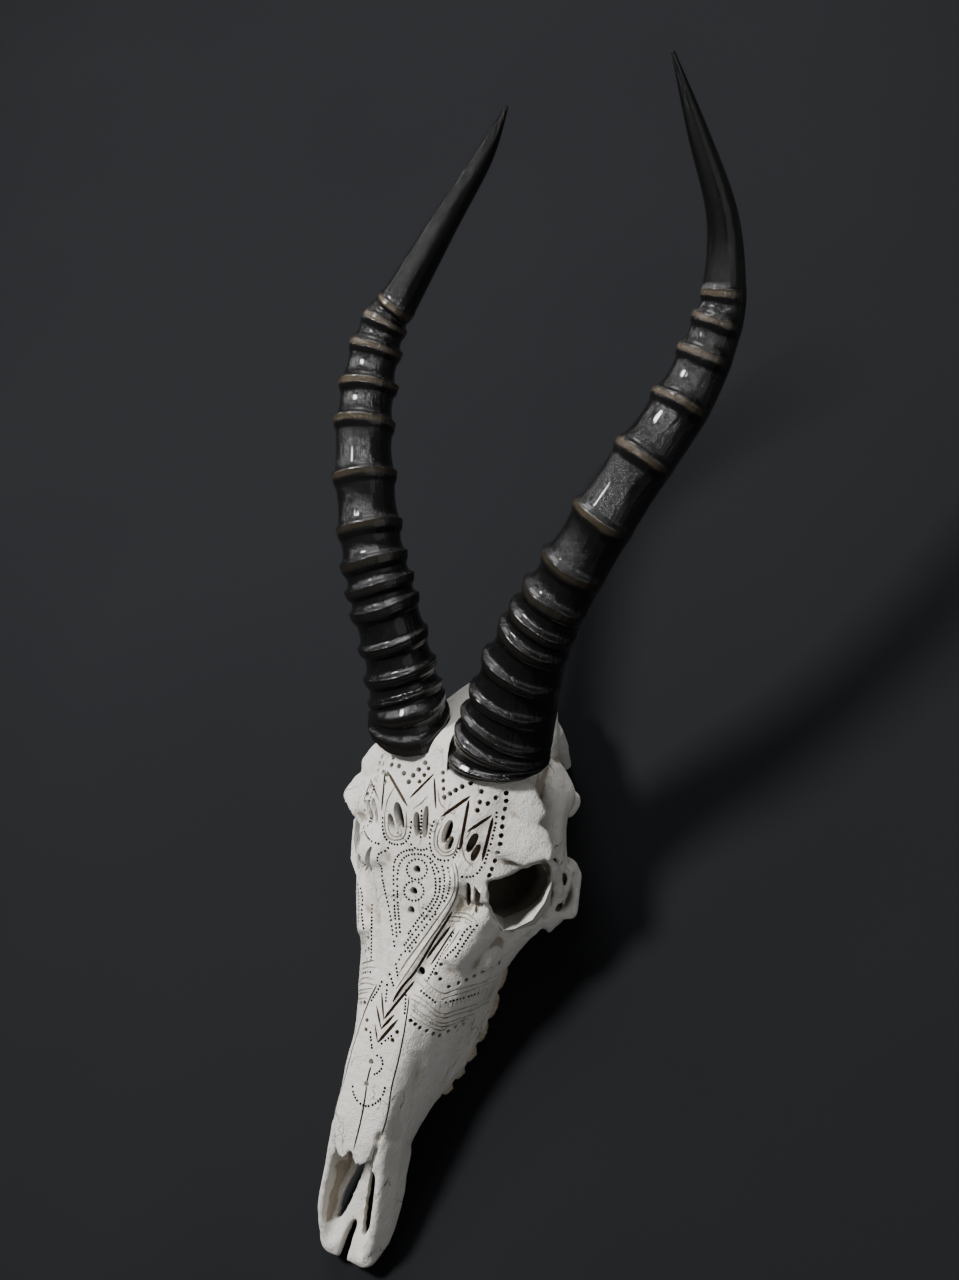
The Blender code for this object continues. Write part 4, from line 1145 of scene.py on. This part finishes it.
def sculpt_bone(mesh, settings):
    """Press the valley beside the roof of the face into the bone, and give it its small lumps."""
    points = points_of(mesh)
    x, y, z = np.abs(points[:, 0]), points[:, 1], points[:, 2]
    border = np.interp(y, [p[0] for p in ROOF_BORDER], [p[1] for p in ROOF_BORDER])
    depth = np.interp(y, (-52, -40, -20, 0, 18, 30, 38), (0, 1.0, 2.2, 3.0, 4.0, 4.4, 0))
    depth *= np.where(points[:, 0] > 0, 1.0, 0.05)
    roof = np.interp(y, [s[0] for s in FACE_SECTIONS], [s[1][1] for s in FACE_SECTIONS])
    outside = x - border
    valley = smooth_step(-0.4, 3.0, outside) * (1 - smooth_step(4.5, 12.0, outside))
    near_top = smooth_step(-24, -14, z - roof)
    points[:, 2] -= depth * valley * near_top
    ridge = np.exp(-((outside + 0.9) / 1.3) ** 2) * np.interp(y, (-50, -30, 30, 36), (0, 0.7, 0.9, 0))
    points[:, 2] += ridge * near_top
    cheek = np.exp(-((y + 5) / 26) ** 2 - ((z - 60) / 11) ** 2)
    points[:, 0] += np.sign(points[:, 0]) * 1.6 * cheek * smooth_step(24, 31, x)
    put_points(mesh, points)
    normals = normals_of(mesh)
    wave = 0.30 * lumps(points, 13, 4) + 0.17 * lumps(points, 5, 9) + 0.07 * lumps(points, 2.4, 21)
    rim = np.min([np.linalg.norm(np.abs(points) - np.array(p), axis=1) for p in rim_points(19.5)], axis=0)
    wave += 0.75 * lumps(points, 3.6, 33) * (1 - smooth_step(3.0, 9.0, rim))
    points += normals * (wave * settings.unevenness)[:, None]
    put_points(mesh, points)


def hollowness_of(mesh):
    """How hollow the surface is at each point, wide hollows and narrow ones together."""
    normals = normals_of(mesh)
    points = points_of(mesh)
    wide = points.copy()
    for _ in range(14):
        wide = neighbour_mean(mesh, wide)
    hollow = ((wide - points) * normals).sum(axis=1)
    hollow = neighbour_mean(mesh, hollow)
    return np.clip(0.5 + hollow * 1.25, 0.0, 1.0)


def make_skull(settings):
    left = side_bones()
    bodies = [face_skin("face", FACE_SECTIONS, 90), brow_end()] + cheek_fills()
    bodies += left + [mirrored(mesh) for mesh in left]
    skull = joined("carved_skull", bodies)
    reskin(skull, 1.35, 8)
    cutters = [cut(skull, name, meshes) for name, meshes in hollows() + nose_openings()]
    reskin(skull, 1.1, 3)
    settle(skull, cutters)
    sculpt_bone(skull.data, settings)
    sight = Sight(skull.data)
    lighter = skull.modifiers.new("fewer faces", "DECIMATE")
    lighter.ratio = settings.faces_kept
    settle(skull)
    skull.data.materials.clear()
    skull.data.materials.append(bone_finish(settings))
    fit_the_rest(skull)
    carve(skull, sight, cut_bone_finish(settings), drilled_bone_finish(settings))
    skull.data.shade_smooth()
    skull.data.set_sharp_from_angle(angle=math.radians(38))
    # how hollow the bone is; the finish darkens hollows with it as dust and painted shade
    mark(skull.data, "hollowness", hollowness_of(skull.data))
    # painted shade: the inner mask darkens the deep orbits, the pockets behind them and the hollows behind
    # the slots
    mark(skull.data, "inner", np.maximum(shade_inside_orbits(skull.data), shade_inside_hollows(skull.data)))
    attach(skull, "root")
    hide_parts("skull")
    return skull


def shade_inside_orbits(mesh):
    """Where shade is painted: 1 on the wall deep inside an eye socket, and in the pockets behind the orbits,
    0 elsewhere.
    """
    points = points_of(mesh)
    points[:, 0] = np.abs(points[:, 0])
    away = np.linalg.norm(points - np.array(SOCKET_MIDDLE), axis=1)
    depth = (np.array(ORBIT_CENTRE) - points) @ np.array(ORBIT_NORMAL)
    socket = (1 - smooth_step(20.2, 21.4, away)) * smooth_step(13.0, 19.0, depth)
    pocket = np.array(sum(seen_points(HINGE_POCKET), Vector())) / len(HINGE_POCKET)
    below = (pocket - points) @ np.array(CAMERA_BACK)
    near = 1 - smooth_step(7.0, 11.0, np.linalg.norm(points - pocket, axis=1))
    return np.maximum(socket, near * smooth_step(1.2, 2.4, below))


def shade_inside_hollows(mesh):
    """Where shade is painted: 1 on the walls of the closed hollows that the pierced slots open into, 0
    elsewhere.
    """
    walls = [face_skin("nose hollow", NOSE_HOLLOW_SECTIONS, 20), ellipsoid("brain hollow", *BRAIN_HOLLOW)]
    points = points_of(mesh)
    dark = np.zeros(len(points))
    for wall in walls:
        corners = [tuple(v.co / MM) for v in wall.vertices]
        tree = BVHTree.FromPolygons(corners, [tuple(p.vertices) for p in wall.polygons])
        away = np.array([tree.find_nearest(point, 1.5)[3] is not None for point in points.tolist()])
        dark[away] = 1.0
    return dark * (points[:, 1] > -62)


def fit_the_rest(skull):
    """Make room for the sheaths and the teeth, and grow the short bony cores of the horns."""
    cutters = []
    for side in ("left", "right"):
        cutters.append(cut(skull, "sheath room " + side, [horn_clearance(side)]))
    for side in ("left", "right"):
        cutters.append(cut(skull, "horn core " + side, [horn_core(side)], "UNION"))
    cutters.append(cut(skull, "orbit flanges", orbit_flanges(), "UNION"))
    cutters.append(cut(skull, "tooth troughs", [tooth_trough(1), tooth_trough(-1)]))
    settle(skull, cutters)


def carve(skull, sight, brown, dark):
    """Cut the pierced and incised pattern into the bone."""
    holes = hole_places(sight)
    groups = [
        (dark, [drill(place[0], place[1], radius, depth) for place, radius, depth in holes]),
        (brown, slot_bodies(sight)),
        (dark, [drill(p, n, DOT_RADIUS, 1.6, sides=8, height=0.8) for p, n in dot_places(sight, holes)]),
        (None, ladder_bodies(sight)),
    ]
    groups += [(brown if deep else None, [body]) for deep, body in line_bodies(sight) if len(body.vertices)]
    for finish, bodies in groups:
        settle(skull, [cut(skull, "carving", bodies, material=finish)])


def tooth_outline(length, out, inn, spread, lobes, count=48):
    """Points round a tooth at one height: upright ribs on the cheek side, round lobes inside."""
    outline = []
    for k in range(count):
        turn = 2 * math.pi * k / count
        c, s = math.cos(turn), math.sin(turn)
        x = math.copysign(abs(c) ** 0.55, c)
        y = math.copysign(abs(s) ** 0.7, s)
        share = 0.5 + 0.5 * y
        if c > 0:
            rib = sum(math.exp(-((share - r) / 0.055) ** 2) for r in (0.04, 0.5, 0.94)[:lobes + 1])
            low = 0.35 * math.cos(4 * math.pi * share) if lobes == 2 else 0.25
            edge = x + (0.16 * rib + 0.06 * low) * c
        else:
            waist = math.exp(-((share - 0.5) / 0.1) ** 2) if lobes == 2 else 0.0
            edge = x * (1 - 0.16 * waist)
        middle = (out + inn) / 2
        half = (out - inn) / 2 + spread
        outline.append((middle + edge * half, share * (length + 2 * spread) - spread, share, x))
    return outline


def tooth_body(index, side):
    """A worn upper cheek tooth from its cusps to its root."""
    start = TOOTH_ROW_START + sum(length for length, _ in TEETH[:index]) + TOOTH_GAP / 2
    length, out = TEETH[index]
    length -= TOOTH_GAP
    inn = out - TOOTH_WIDTH
    lobes = 1 if index < 3 else 2
    levels = (
        (TOOTH_HEIGHT, -1.0, 0), (15, -0.5, 0), (11, -0.2, 0), (7.5, 0.0, 0), (5, 0.1, 0), (3.6, 0.1, 0.25),
        (2.2, 0.0, 0.7), (1.0, -0.3, 1.0), (1.1, -1.1, 0.9), (3.0, -2.4, 0.5), (4.0, -3.6, 0.2),
    )
    rings = []
    for z, spread, cusped in levels:
        ring = []
        for x, y, share, around in tooth_outline(length, out, inn, spread, lobes):
            cusp = 0.5 - 0.5 * math.cos(2 * math.pi * lobes * share)
            drop = (1.0 - cusp) * 2.6 * (0.45 + 0.55 * max(around, 0.0)) - 1.0
            ring.append((x * side, start + y, max(z + cusped * drop, 0.0)))
        rings.append(ring)
    return closed_skin("tooth", rings)


def make_teeth(material):
    made = []
    for name, side in (("left", 1), ("right", -1)):
        for index in range(len(TEETH)):
            node = "tooth_%s_%d" % (name, index + 1)
            tooth = joined("cheek_" + node, [tooth_body(index, side)], material)
            tooth.data.shade_smooth()
            tooth.data.set_sharp_from_angle(angle=math.radians(60))
            finer = tooth.modifiers.new("rounder", "SUBSURF")
            finer.levels = 1
            finer.render_levels = 1
            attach(tooth, "root")
            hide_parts(node)
            made.append(tooth)
    return made


class Finish:
    """The nodes of one material."""

    def __init__(self, name):
        self.material = bpy.data.materials.new(name)
        self.material.use_nodes = True
        self.tree = self.material.node_tree
        self.shader = self.tree.nodes["Principled BSDF"]

    def node(self, kind, settings=None, sockets=None, output=0):
        """Add a node: its settings first, then a value or a link for each named socket."""
        made = self.tree.nodes.new(kind)
        for name, value in (settings or {}).items():
            setattr(made, name, value)
        for name, value in (sockets or {}).items():
            self.feed(made.inputs[name], value)
        return Value(self, made.outputs[output])

    def feed(self, socket, value):
        if isinstance(value, Value):
            self.tree.links.new(value.socket, socket)
        else:
            socket.default_value = value

    def math(self, operation, *values):
        made = self.tree.nodes.new("ShaderNodeMath")
        made.operation = operation
        for place, value in enumerate(values):
            self.feed(made.inputs[place], value)
        return Value(self, made.outputs[0])

    def step(self, value, low, high):
        """A smooth step from 0 at low to 1 at high."""
        return self.node("ShaderNodeMapRange", {"interpolation_type": "SMOOTHSTEP"},
                         {"Value": value, "From Min": low, "From Max": high})

    def blend(self, mask, first, second):
        """The first colour where the mask is 0 and the second where it is 1."""
        made = self.tree.nodes.new("ShaderNodeMix")
        made.data_type = "RGBA"
        self.feed(made.inputs[0], mask)
        self.feed(made.inputs[6], first)
        self.feed(made.inputs[7], second)
        return Value(self, made.outputs[2])

    def attribute(self, name):
        return self.node("ShaderNodeAttribute", {"attribute_name": name}, output=2)

    def places(self, stretch=(1.0, 1.0, 1.0)):
        """The object's own coordinates in millimetres, stretched."""
        where = self.node("ShaderNodeTexCoord", output=3)
        scale = tuple(1000.0 * s for s in stretch)
        return self.node("ShaderNodeVectorMath", {"operation": "MULTIPLY"}, {0: where, 1: scale})

    def clouds(self, where, size, detail=4.0, rough=0.55, warp=0.0):
        """Noise from 0 to 1 whose patches are about size millimetres wide."""
        return self.node("ShaderNodeTexNoise", {}, {
            "Vector": where, "Scale": 1.0 / size, "Detail": detail, "Roughness": rough, "Distortion": warp})

    def cells(self, where, size, feature="F1"):
        return self.node("ShaderNodeTexVoronoi", {"feature": feature}, {"Vector": where, "Scale": 1.0 / size})

    def relief(self, height, strength, depth):
        return self.node("ShaderNodeBump", {}, {"Strength": strength, "Distance": depth, "Height": height})

    def surface(self, **sockets):
        for name, value in sockets.items():
            self.feed(self.shader.inputs[name.replace("_", " ")], value)
        return self.material


class Value:
    """One output of a node. Arithmetic on it adds Math nodes."""

    def __init__(self, finish, socket):
        self.finish = finish
        self.socket = socket

    def __add__(self, other):
        return self.finish.math("ADD", self, other)

    __radd__ = __add__

    def __sub__(self, other):
        return self.finish.math("SUBTRACT", self, other)

    def __rsub__(self, other):
        return self.finish.math("SUBTRACT", other, self)

    def __mul__(self, other):
        return self.finish.math("MULTIPLY", self, other)

    __rmul__ = __mul__

    def __pow__(self, other):
        return self.finish.math("POWER", self, other)


def opaque(colour):
    return tuple(colour) + (1.0,)


def bone_relief(finish, where):
    """Pores, grain and hair cracks of dry bone, as a height."""
    grain = finish.clouds(where, 0.7, 5.0, 0.62)
    swell = finish.clouds(where, 4.5, 3.0)
    fibres = finish.clouds(finish.places((1.0, 0.16, 0.6)), 0.9, 4.0)
    return grain * 0.6 + swell * 0.9 + fibres * 0.45


def hair_cracks(finish, where):
    """1 along thin branching cracks, 0 elsewhere."""
    bent = finish.node("ShaderNodeVectorMath", {"operation": "MULTIPLY_ADD"}, {
        0: finish.node("ShaderNodeTexNoise", {}, {"Vector": where, "Scale": 0.16, "Detail": 4.0}, output=1),
        1: (7.0, 7.0, 7.0), 2: finish.places((1.0, 0.4, 1.0))})
    edge = finish.cells(bent, 15.0, "DISTANCE_TO_EDGE")
    thin = 1 - finish.step(edge, 0.0, 0.011)
    some = finish.step(finish.clouds(where, 26.0, 2.0), 0.52, 0.62)
    return thin * some


def bone_finish(settings):
    finish = Finish("dry carved bone")
    where = finish.places()
    hollowness = finish.attribute("hollowness")
    pale = opaque(settings.bone_colour)
    dust_and_shade = opaque(settings.dust_and_shade_colour)
    patches = finish.step(finish.clouds(where, 24.0, 4.0, 0.6), 0.38, 0.72)
    mottle = finish.clouds(where, 3.0, 5.0, 0.65)
    colour = finish.blend(patches * 0.55, pale, (0.60, 0.545, 0.46, 1.0))
    colour = finish.blend(finish.step(mottle, 0.42, 0.75) * 0.30, colour, (0.86, 0.845, 0.80, 1.0))
    # dust and painted shade: hollow places are darkened towards this brown, for the dust in them and the
    # shade that gathers there
    grime_and_shade = finish.step(hollowness + (mottle - 0.5) * 0.3, 0.60, 0.92)
    colour = finish.blend(grime_and_shade * settings.grime_and_shade, colour, dust_and_shade)
    worn = 1 - finish.step(hollowness + (mottle - 0.5) * 0.2, 0.28, 0.47)
    colour = finish.blend(worn * 0.45, colour, (0.84, 0.82, 0.77, 1.0))
    cracks = hair_cracks(finish, where)
    colour = finish.blend(cracks * 0.75, colour, (0.20, 0.15, 0.10, 1.0))
    # painted shade: near black deep in the eye sockets, in the pockets behind the orbits and inside the
    # hollows
    inner = finish.attribute("inner")
    colour = finish.blend(inner * 0.93, colour, (0.045, 0.034, 0.026, 1.0))
    speck = 1 - finish.step(finish.cells(where, 2.6), 0.06, 0.13)
    rare = finish.step(finish.clouds(where, 8.0, 2.0), 0.55, 0.65)
    colour = finish.blend(speck * rare * 0.5, colour, (0.30, 0.23, 0.16, 1.0))
    height = bone_relief(finish, where) - cracks * 0.9
    return finish.surface(
        Base_Color=colour, Roughness=0.62 + mottle * 0.22, Specular_IOR_Level=0.35,
        Normal=finish.relief(height, 1.0, 0.0013))


def cut_bone_finish(settings):
    """The cut faces: brown bone, darkened further as painted shade inside the slots and deep lines."""
    finish = Finish("browned cut bone")
    where = finish.places()
    tint = finish.clouds(where, 3.5, 4.0)
    # the cut faces' own brown together with painted shade
    cut_colour = opaque(settings.cut_colour)
    colour = finish.blend(finish.step(tint, 0.3, 0.7) * 0.7, cut_colour, (0.13, 0.09, 0.06, 1.0))
    height = finish.clouds(where, 0.8, 4.0)
    return finish.surface(Base_Color=colour, Roughness=0.85, Normal=finish.relief(height, 0.6, 0.0005))


def drilled_bone_finish(settings):
    """The walls of the drilled holes and dots, painted near black as the shade deep inside them."""
    finish = Finish("dark drilled bone")
    tint = finish.clouds(finish.places(), 3.5, 4.0)
    # painted shade: the cut colour taken almost to black for the shade in the holes
    dark = tuple(0.12 * share for share in settings.cut_colour) + (1.0,)
    colour = finish.blend(finish.step(tint, 0.3, 0.7) * 0.7, dark, (0.03, 0.022, 0.016, 1.0))
    return finish.surface(Base_Color=colour, Roughness=0.9)


def horn_finish(settings):
    finish = Finish("black lacquered horn")
    where = finish.places()
    crest = finish.attribute("crest")
    length = finish.attribute("length")
    turn = finish.attribute("turn")
    black = opaque(settings.horn_colour)
    brown = opaque(settings.crest_colour)
    cloud = finish.clouds(where, 9.0, 5.0, 0.6)
    upper = finish.step(length, 60.0, 190.0)
    worn = finish.step(crest + (cloud - 0.5) * 0.9, 0.35, 1.0) * (0.04 + upper * 0.62)
    colour = finish.blend(worn, black, brown)
    haze = finish.step(finish.clouds(where, 2.2, 6.0, 0.7), 0.5, 0.8)
    colour = finish.blend(haze * 0.3, colour, (0.014, 0.011, 0.008, 1.0))
    along_way = finish.node("ShaderNodeCombineXYZ", {}, {
        "X": finish.math("SINE", turn) * 34.0, "Y": finish.math("COSINE", turn) * 34.0, "Z": length * 0.12})
    streaks = finish.clouds(along_way, 1.5, 6.0, 0.62)
    pits = 1 - finish.step(finish.cells(where, 3.4), 0.05, 0.16)
    rare = finish.step(finish.clouds(where, 12.0, 3.0), 0.5, 0.62)
    height = streaks * 0.8 + finish.clouds(where, 1.2, 5.0) * 0.25 - pits * rare * 0.9
    return finish.surface(
        Base_Color=colour, Roughness=0.10 + haze * 0.14 + pits * rare * 0.2, Coat_Weight=0.35,
        Coat_Roughness=0.04, Specular_IOR_Level=0.32, Normal=finish.relief(height, 0.75, 0.0011))


def tooth_finish(settings):
    finish = Finish("stained enamel")
    where = finish.places()
    ivory = opaque(settings.enamel_colour)
    streaks = finish.clouds(finish.places((1.0, 1.0, 0.25)), 1.6, 5.0, 0.65)
    colour = finish.blend(finish.step(streaks, 0.45, 0.7) * 0.7, ivory, (0.30, 0.20, 0.11, 1.0))
    low = finish.node("ShaderNodeSeparateXYZ", {}, {"Vector": where}, output=2)
    colour = finish.blend((1 - finish.step(low, 1.0, 5.0)) * 0.6, colour, (0.22, 0.15, 0.09, 1.0))
    height = streaks * 0.7 + finish.clouds(where, 0.7, 4.0) * 0.4
    return finish.surface(Base_Color=colour, Roughness=0.34 + streaks * 0.2,
                          Normal=finish.relief(height, 0.5, 0.0005))


def floor_finish(settings):
    finish = Finish("dark studio floor")
    where = finish.places()
    tone = finish.clouds(where, 300.0, 2.0)
    dark = opaque(settings.floor_colour)
    colour = finish.blend(tone * 0.5, dark, (0.017, 0.0175, 0.019, 1.0))
    return finish.surface(Base_Color=colour, Roughness=0.9, Specular_IOR_Level=0.12)


def make_floor(settings):
    mesh = bpy.data.meshes.new("studio floor")
    build = bmesh.new()
    bmesh.ops.create_grid(build, x_segments=4, y_segments=4, size=4.0)
    build.to_mesh(mesh)
    build.free()
    floor = placed("studio_floor", mesh)
    mesh.materials.append(floor_finish(settings))


def make_lamp(name, way, distance, size, power, target):
    lamp = bpy.data.lights.new(name, "AREA")
    lamp.shape = "DISK"
    lamp.size = size
    lamp.energy = power
    holder = placed(name, lamp)
    place = target + way.normalized() * distance
    holder.location = place
    holder.rotation_euler = (target - place).to_track_quat("-Z", "Y").to_euler()


def make_camera():
    """The camera at the photograph's own place and angle."""
    data = bpy.data.cameras.new("photo camera")
    data.type = "PERSP"
    data.sensor_width = SENSOR_MM
    data.lens = PHOTO_FOCUS / max(PHOTO_WIDTH, PHOTO_HEIGHT) * SENSOR_MM
    data.clip_start = 0.01
    camera = placed("photo camera", data)
    turn = Matrix((CAMERA_RIGHT, CAMERA_UP, CAMERA_BACK)).transposed().to_4x4()
    camera.matrix_world = Matrix.Translation((CAMERA_PLACE + SHIFT) * MM) @ turn
    bpy.context.scene.camera = camera


def make_stage(settings):
    make_floor(settings)
    target = Vector((0.0, -0.02, 0.1))
    key = CAMERA_BACK * 0.55 - CAMERA_RIGHT * 0.62 + CAMERA_UP * 0.5
    make_lamp("key light", key, 1.5, 0.30, settings.key_power, target)
    fill = CAMERA_BACK * 0.8 + CAMERA_RIGHT * 0.7 - CAMERA_UP * 0.1 + Vector((0, 0, 0.2))
    make_lamp("fill light", fill, 1.8, 1.4, settings.key_power * 0.12, target)
    rim = Vector((-0.3, 1.0, 0.9))
    make_lamp("rim light", rim, 1.7, 0.8, settings.key_power * 0.5, target)
    world = bpy.data.worlds.new("soft room")
    world.use_nodes = True
    background = world.node_tree.nodes["Background"]
    background.inputs["Color"].default_value = (0.9, 0.94, 1.0, 1.0)
    background.inputs["Strength"].default_value = settings.room_light
    bpy.context.scene.world = world
    make_camera()


class SkullSettings(bpy.types.PropertyGroup):
    faces_kept: FloatProperty(
        name="Faces kept", description="Share of the fine skin's faces that stay before carving",
        default=0.32, min=0.05, max=1.0, subtype="FACTOR")
    unevenness: FloatProperty(
        name="Unevenness", description="How strong the bone's own small lumps are", default=1.0, min=0.0,
        max=3.0)
    # how dark the dust and the painted shade in the hollows are
    grime_and_shade: FloatProperty(
        name="Grime_and_shade", description="How dark the dust in the hollows is", default=0.75, min=0.0, max=1.0,
        subtype="FACTOR")
    bone_colour: FloatVectorProperty(
        name="Bone", description="Colour of the clean dry bone", default=(0.70, 0.665, 0.60), size=3,
        min=0.0, max=1.0, subtype="COLOR")
    # colour of the dust and the painted shade in the hollows
    dust_and_shade_colour: FloatVectorProperty(
        name="Dust_and_shade", description="Colour of the dust in the hollows", default=(0.33, 0.265, 0.19), size=3,
        min=0.0, max=1.0, subtype="COLOR")
    # brown of the cut faces with painted shade in it; the drilled holes take it darker still as painted shade
    cut_colour: FloatVectorProperty(
        name="Cut faces", description="Colour inside the carved slots", default=(0.15, 0.106, 0.070), size=3,
        min=0.0, max=1.0, subtype="COLOR")


class HornSettings(bpy.types.PropertyGroup):
    stations: IntProperty(
        name="Stations", description="Rows of points along a sheath", default=560, min=120, max=900)
    sides: IntProperty(
        name="Sides", description="Points round a sheath", default=128, min=24, max=200)
    band_width: FloatProperty(
        name="Ring width", description="Width of one raised ring", default=0.0065, min=0.002, max=0.02,
        unit="LENGTH")
    ring_height: FloatProperty(
        name="Ring height", description="How far a ring stands out", default=0.0021, min=0.0, max=0.006,
        unit="LENGTH")
    waist: FloatProperty(
        name="Waist", description="How far the sheath draws in between two rings", default=0.0011, min=0.0,
        max=0.004, unit="LENGTH")
    horn_colour: FloatVectorProperty(
        name="Horn", description="Colour of the lacquered horn", default=(0.0035, 0.0032, 0.0030), size=3,
        min=0.0, max=1.0, subtype="COLOR")
    crest_colour: FloatVectorProperty(
        name="Worn rings", description="Colour where the rings are worn", default=(0.075, 0.058, 0.036),
        size=3, min=0.0, max=1.0, subtype="COLOR")


class ToothSettings(bpy.types.PropertyGroup):
    enamel_colour: FloatVectorProperty(
        name="Enamel", description="Colour of the clean enamel", default=(0.62, 0.54, 0.40), size=3,
        min=0.0, max=1.0, subtype="COLOR")


class StageSettings(bpy.types.PropertyGroup):
    key_power: FloatProperty(
        name="Key light", description="Power of the main light", default=36.0, min=0.0, unit="POWER")
    room_light: FloatProperty(
        name="Room light", description="Strength of the light from all around", default=0.12, min=0.0)
    floor_colour: FloatVectorProperty(
        name="Floor", description="Colour of the floor", default=(0.0095, 0.0100, 0.0115), size=3, min=0.0,
        max=1.0, subtype="COLOR")


class SKULL_OT_add_skull(bpy.types.Operator):
    """Add the carved skull bone"""

    bl_idname = "skull.add_skull"
    bl_label = "Add Carved Skull"

    def execute(self, context):
        make_skull(context.scene.skull_bone)
        return {"FINISHED"}


class SKULL_OT_add_horns(bpy.types.Operator):
    """Add the two ringed horn sheaths"""

    bl_idname = "skull.add_horns"
    bl_label = "Add Horn Sheaths"

    def execute(self, context):
        settings = context.scene.skull_horns
        material = horn_finish(settings)
        for side in ("left", "right"):
            make_horn(side, settings, material)
        return {"FINISHED"}


class SKULL_OT_add_teeth(bpy.types.Operator):
    """Add the twelve upper cheek teeth"""

    bl_idname = "skull.add_teeth"
    bl_label = "Add Cheek Teeth"

    def execute(self, context):
        make_teeth(tooth_finish(context.scene.skull_teeth))
        return {"FINISHED"}


class SKULL_OT_add_stage(bpy.types.Operator):
    """Add the floor, the lights and the camera"""

    bl_idname = "skull.add_stage"
    bl_label = "Add Studio Stage"

    def execute(self, context):
        make_stage(context.scene.skull_stage)
        return {"FINISHED"}


class SKULL_PT_panel(bpy.types.Panel):
    """Settings and steps of the carved skull"""

    bl_idname = "SKULL_PT_panel"
    bl_label = "Carved Blesbok Skull"
    bl_space_type = "VIEW_3D"
    bl_region_type = "UI"
    bl_category = "Skull"

    def draw(self, context):
        scene = context.scene
        rows = (
            (scene.skull_bone, "skull.add_skull"), (scene.skull_horns, "skull.add_horns"),
            (scene.skull_teeth, "skull.add_teeth"), (scene.skull_stage, "skull.add_stage"),
        )
        for settings, operator in rows:
            box = self.layout.box()
            for name in settings.__class__.__annotations__:
                box.prop(settings, name)
            box.operator(operator)


CLASSES = (
    SkullSettings, HornSettings, ToothSettings, StageSettings, SKULL_OT_add_skull, SKULL_OT_add_horns,
    SKULL_OT_add_teeth, SKULL_OT_add_stage, SKULL_PT_panel,
)


def register():
    for made in CLASSES:
        bpy.utils.register_class(made)
    bpy.types.Scene.skull_bone = PointerProperty(type=SkullSettings)
    bpy.types.Scene.skull_horns = PointerProperty(type=HornSettings)
    bpy.types.Scene.skull_teeth = PointerProperty(type=ToothSettings)
    bpy.types.Scene.skull_stage = PointerProperty(type=StageSettings)


def unregister():
    for name in ("skull_bone", "skull_horns", "skull_teeth", "skull_stage"):
        delattr(bpy.types.Scene, name)
    for made in reversed(CLASSES):
        bpy.utils.unregister_class(made)


def main():
    register()
    bpy.ops.skull.add_stage()
    bpy.ops.skull.add_skull()
    bpy.ops.skull.add_horns()
    bpy.ops.skull.add_teeth()


if __name__ == "__main__":
    main()
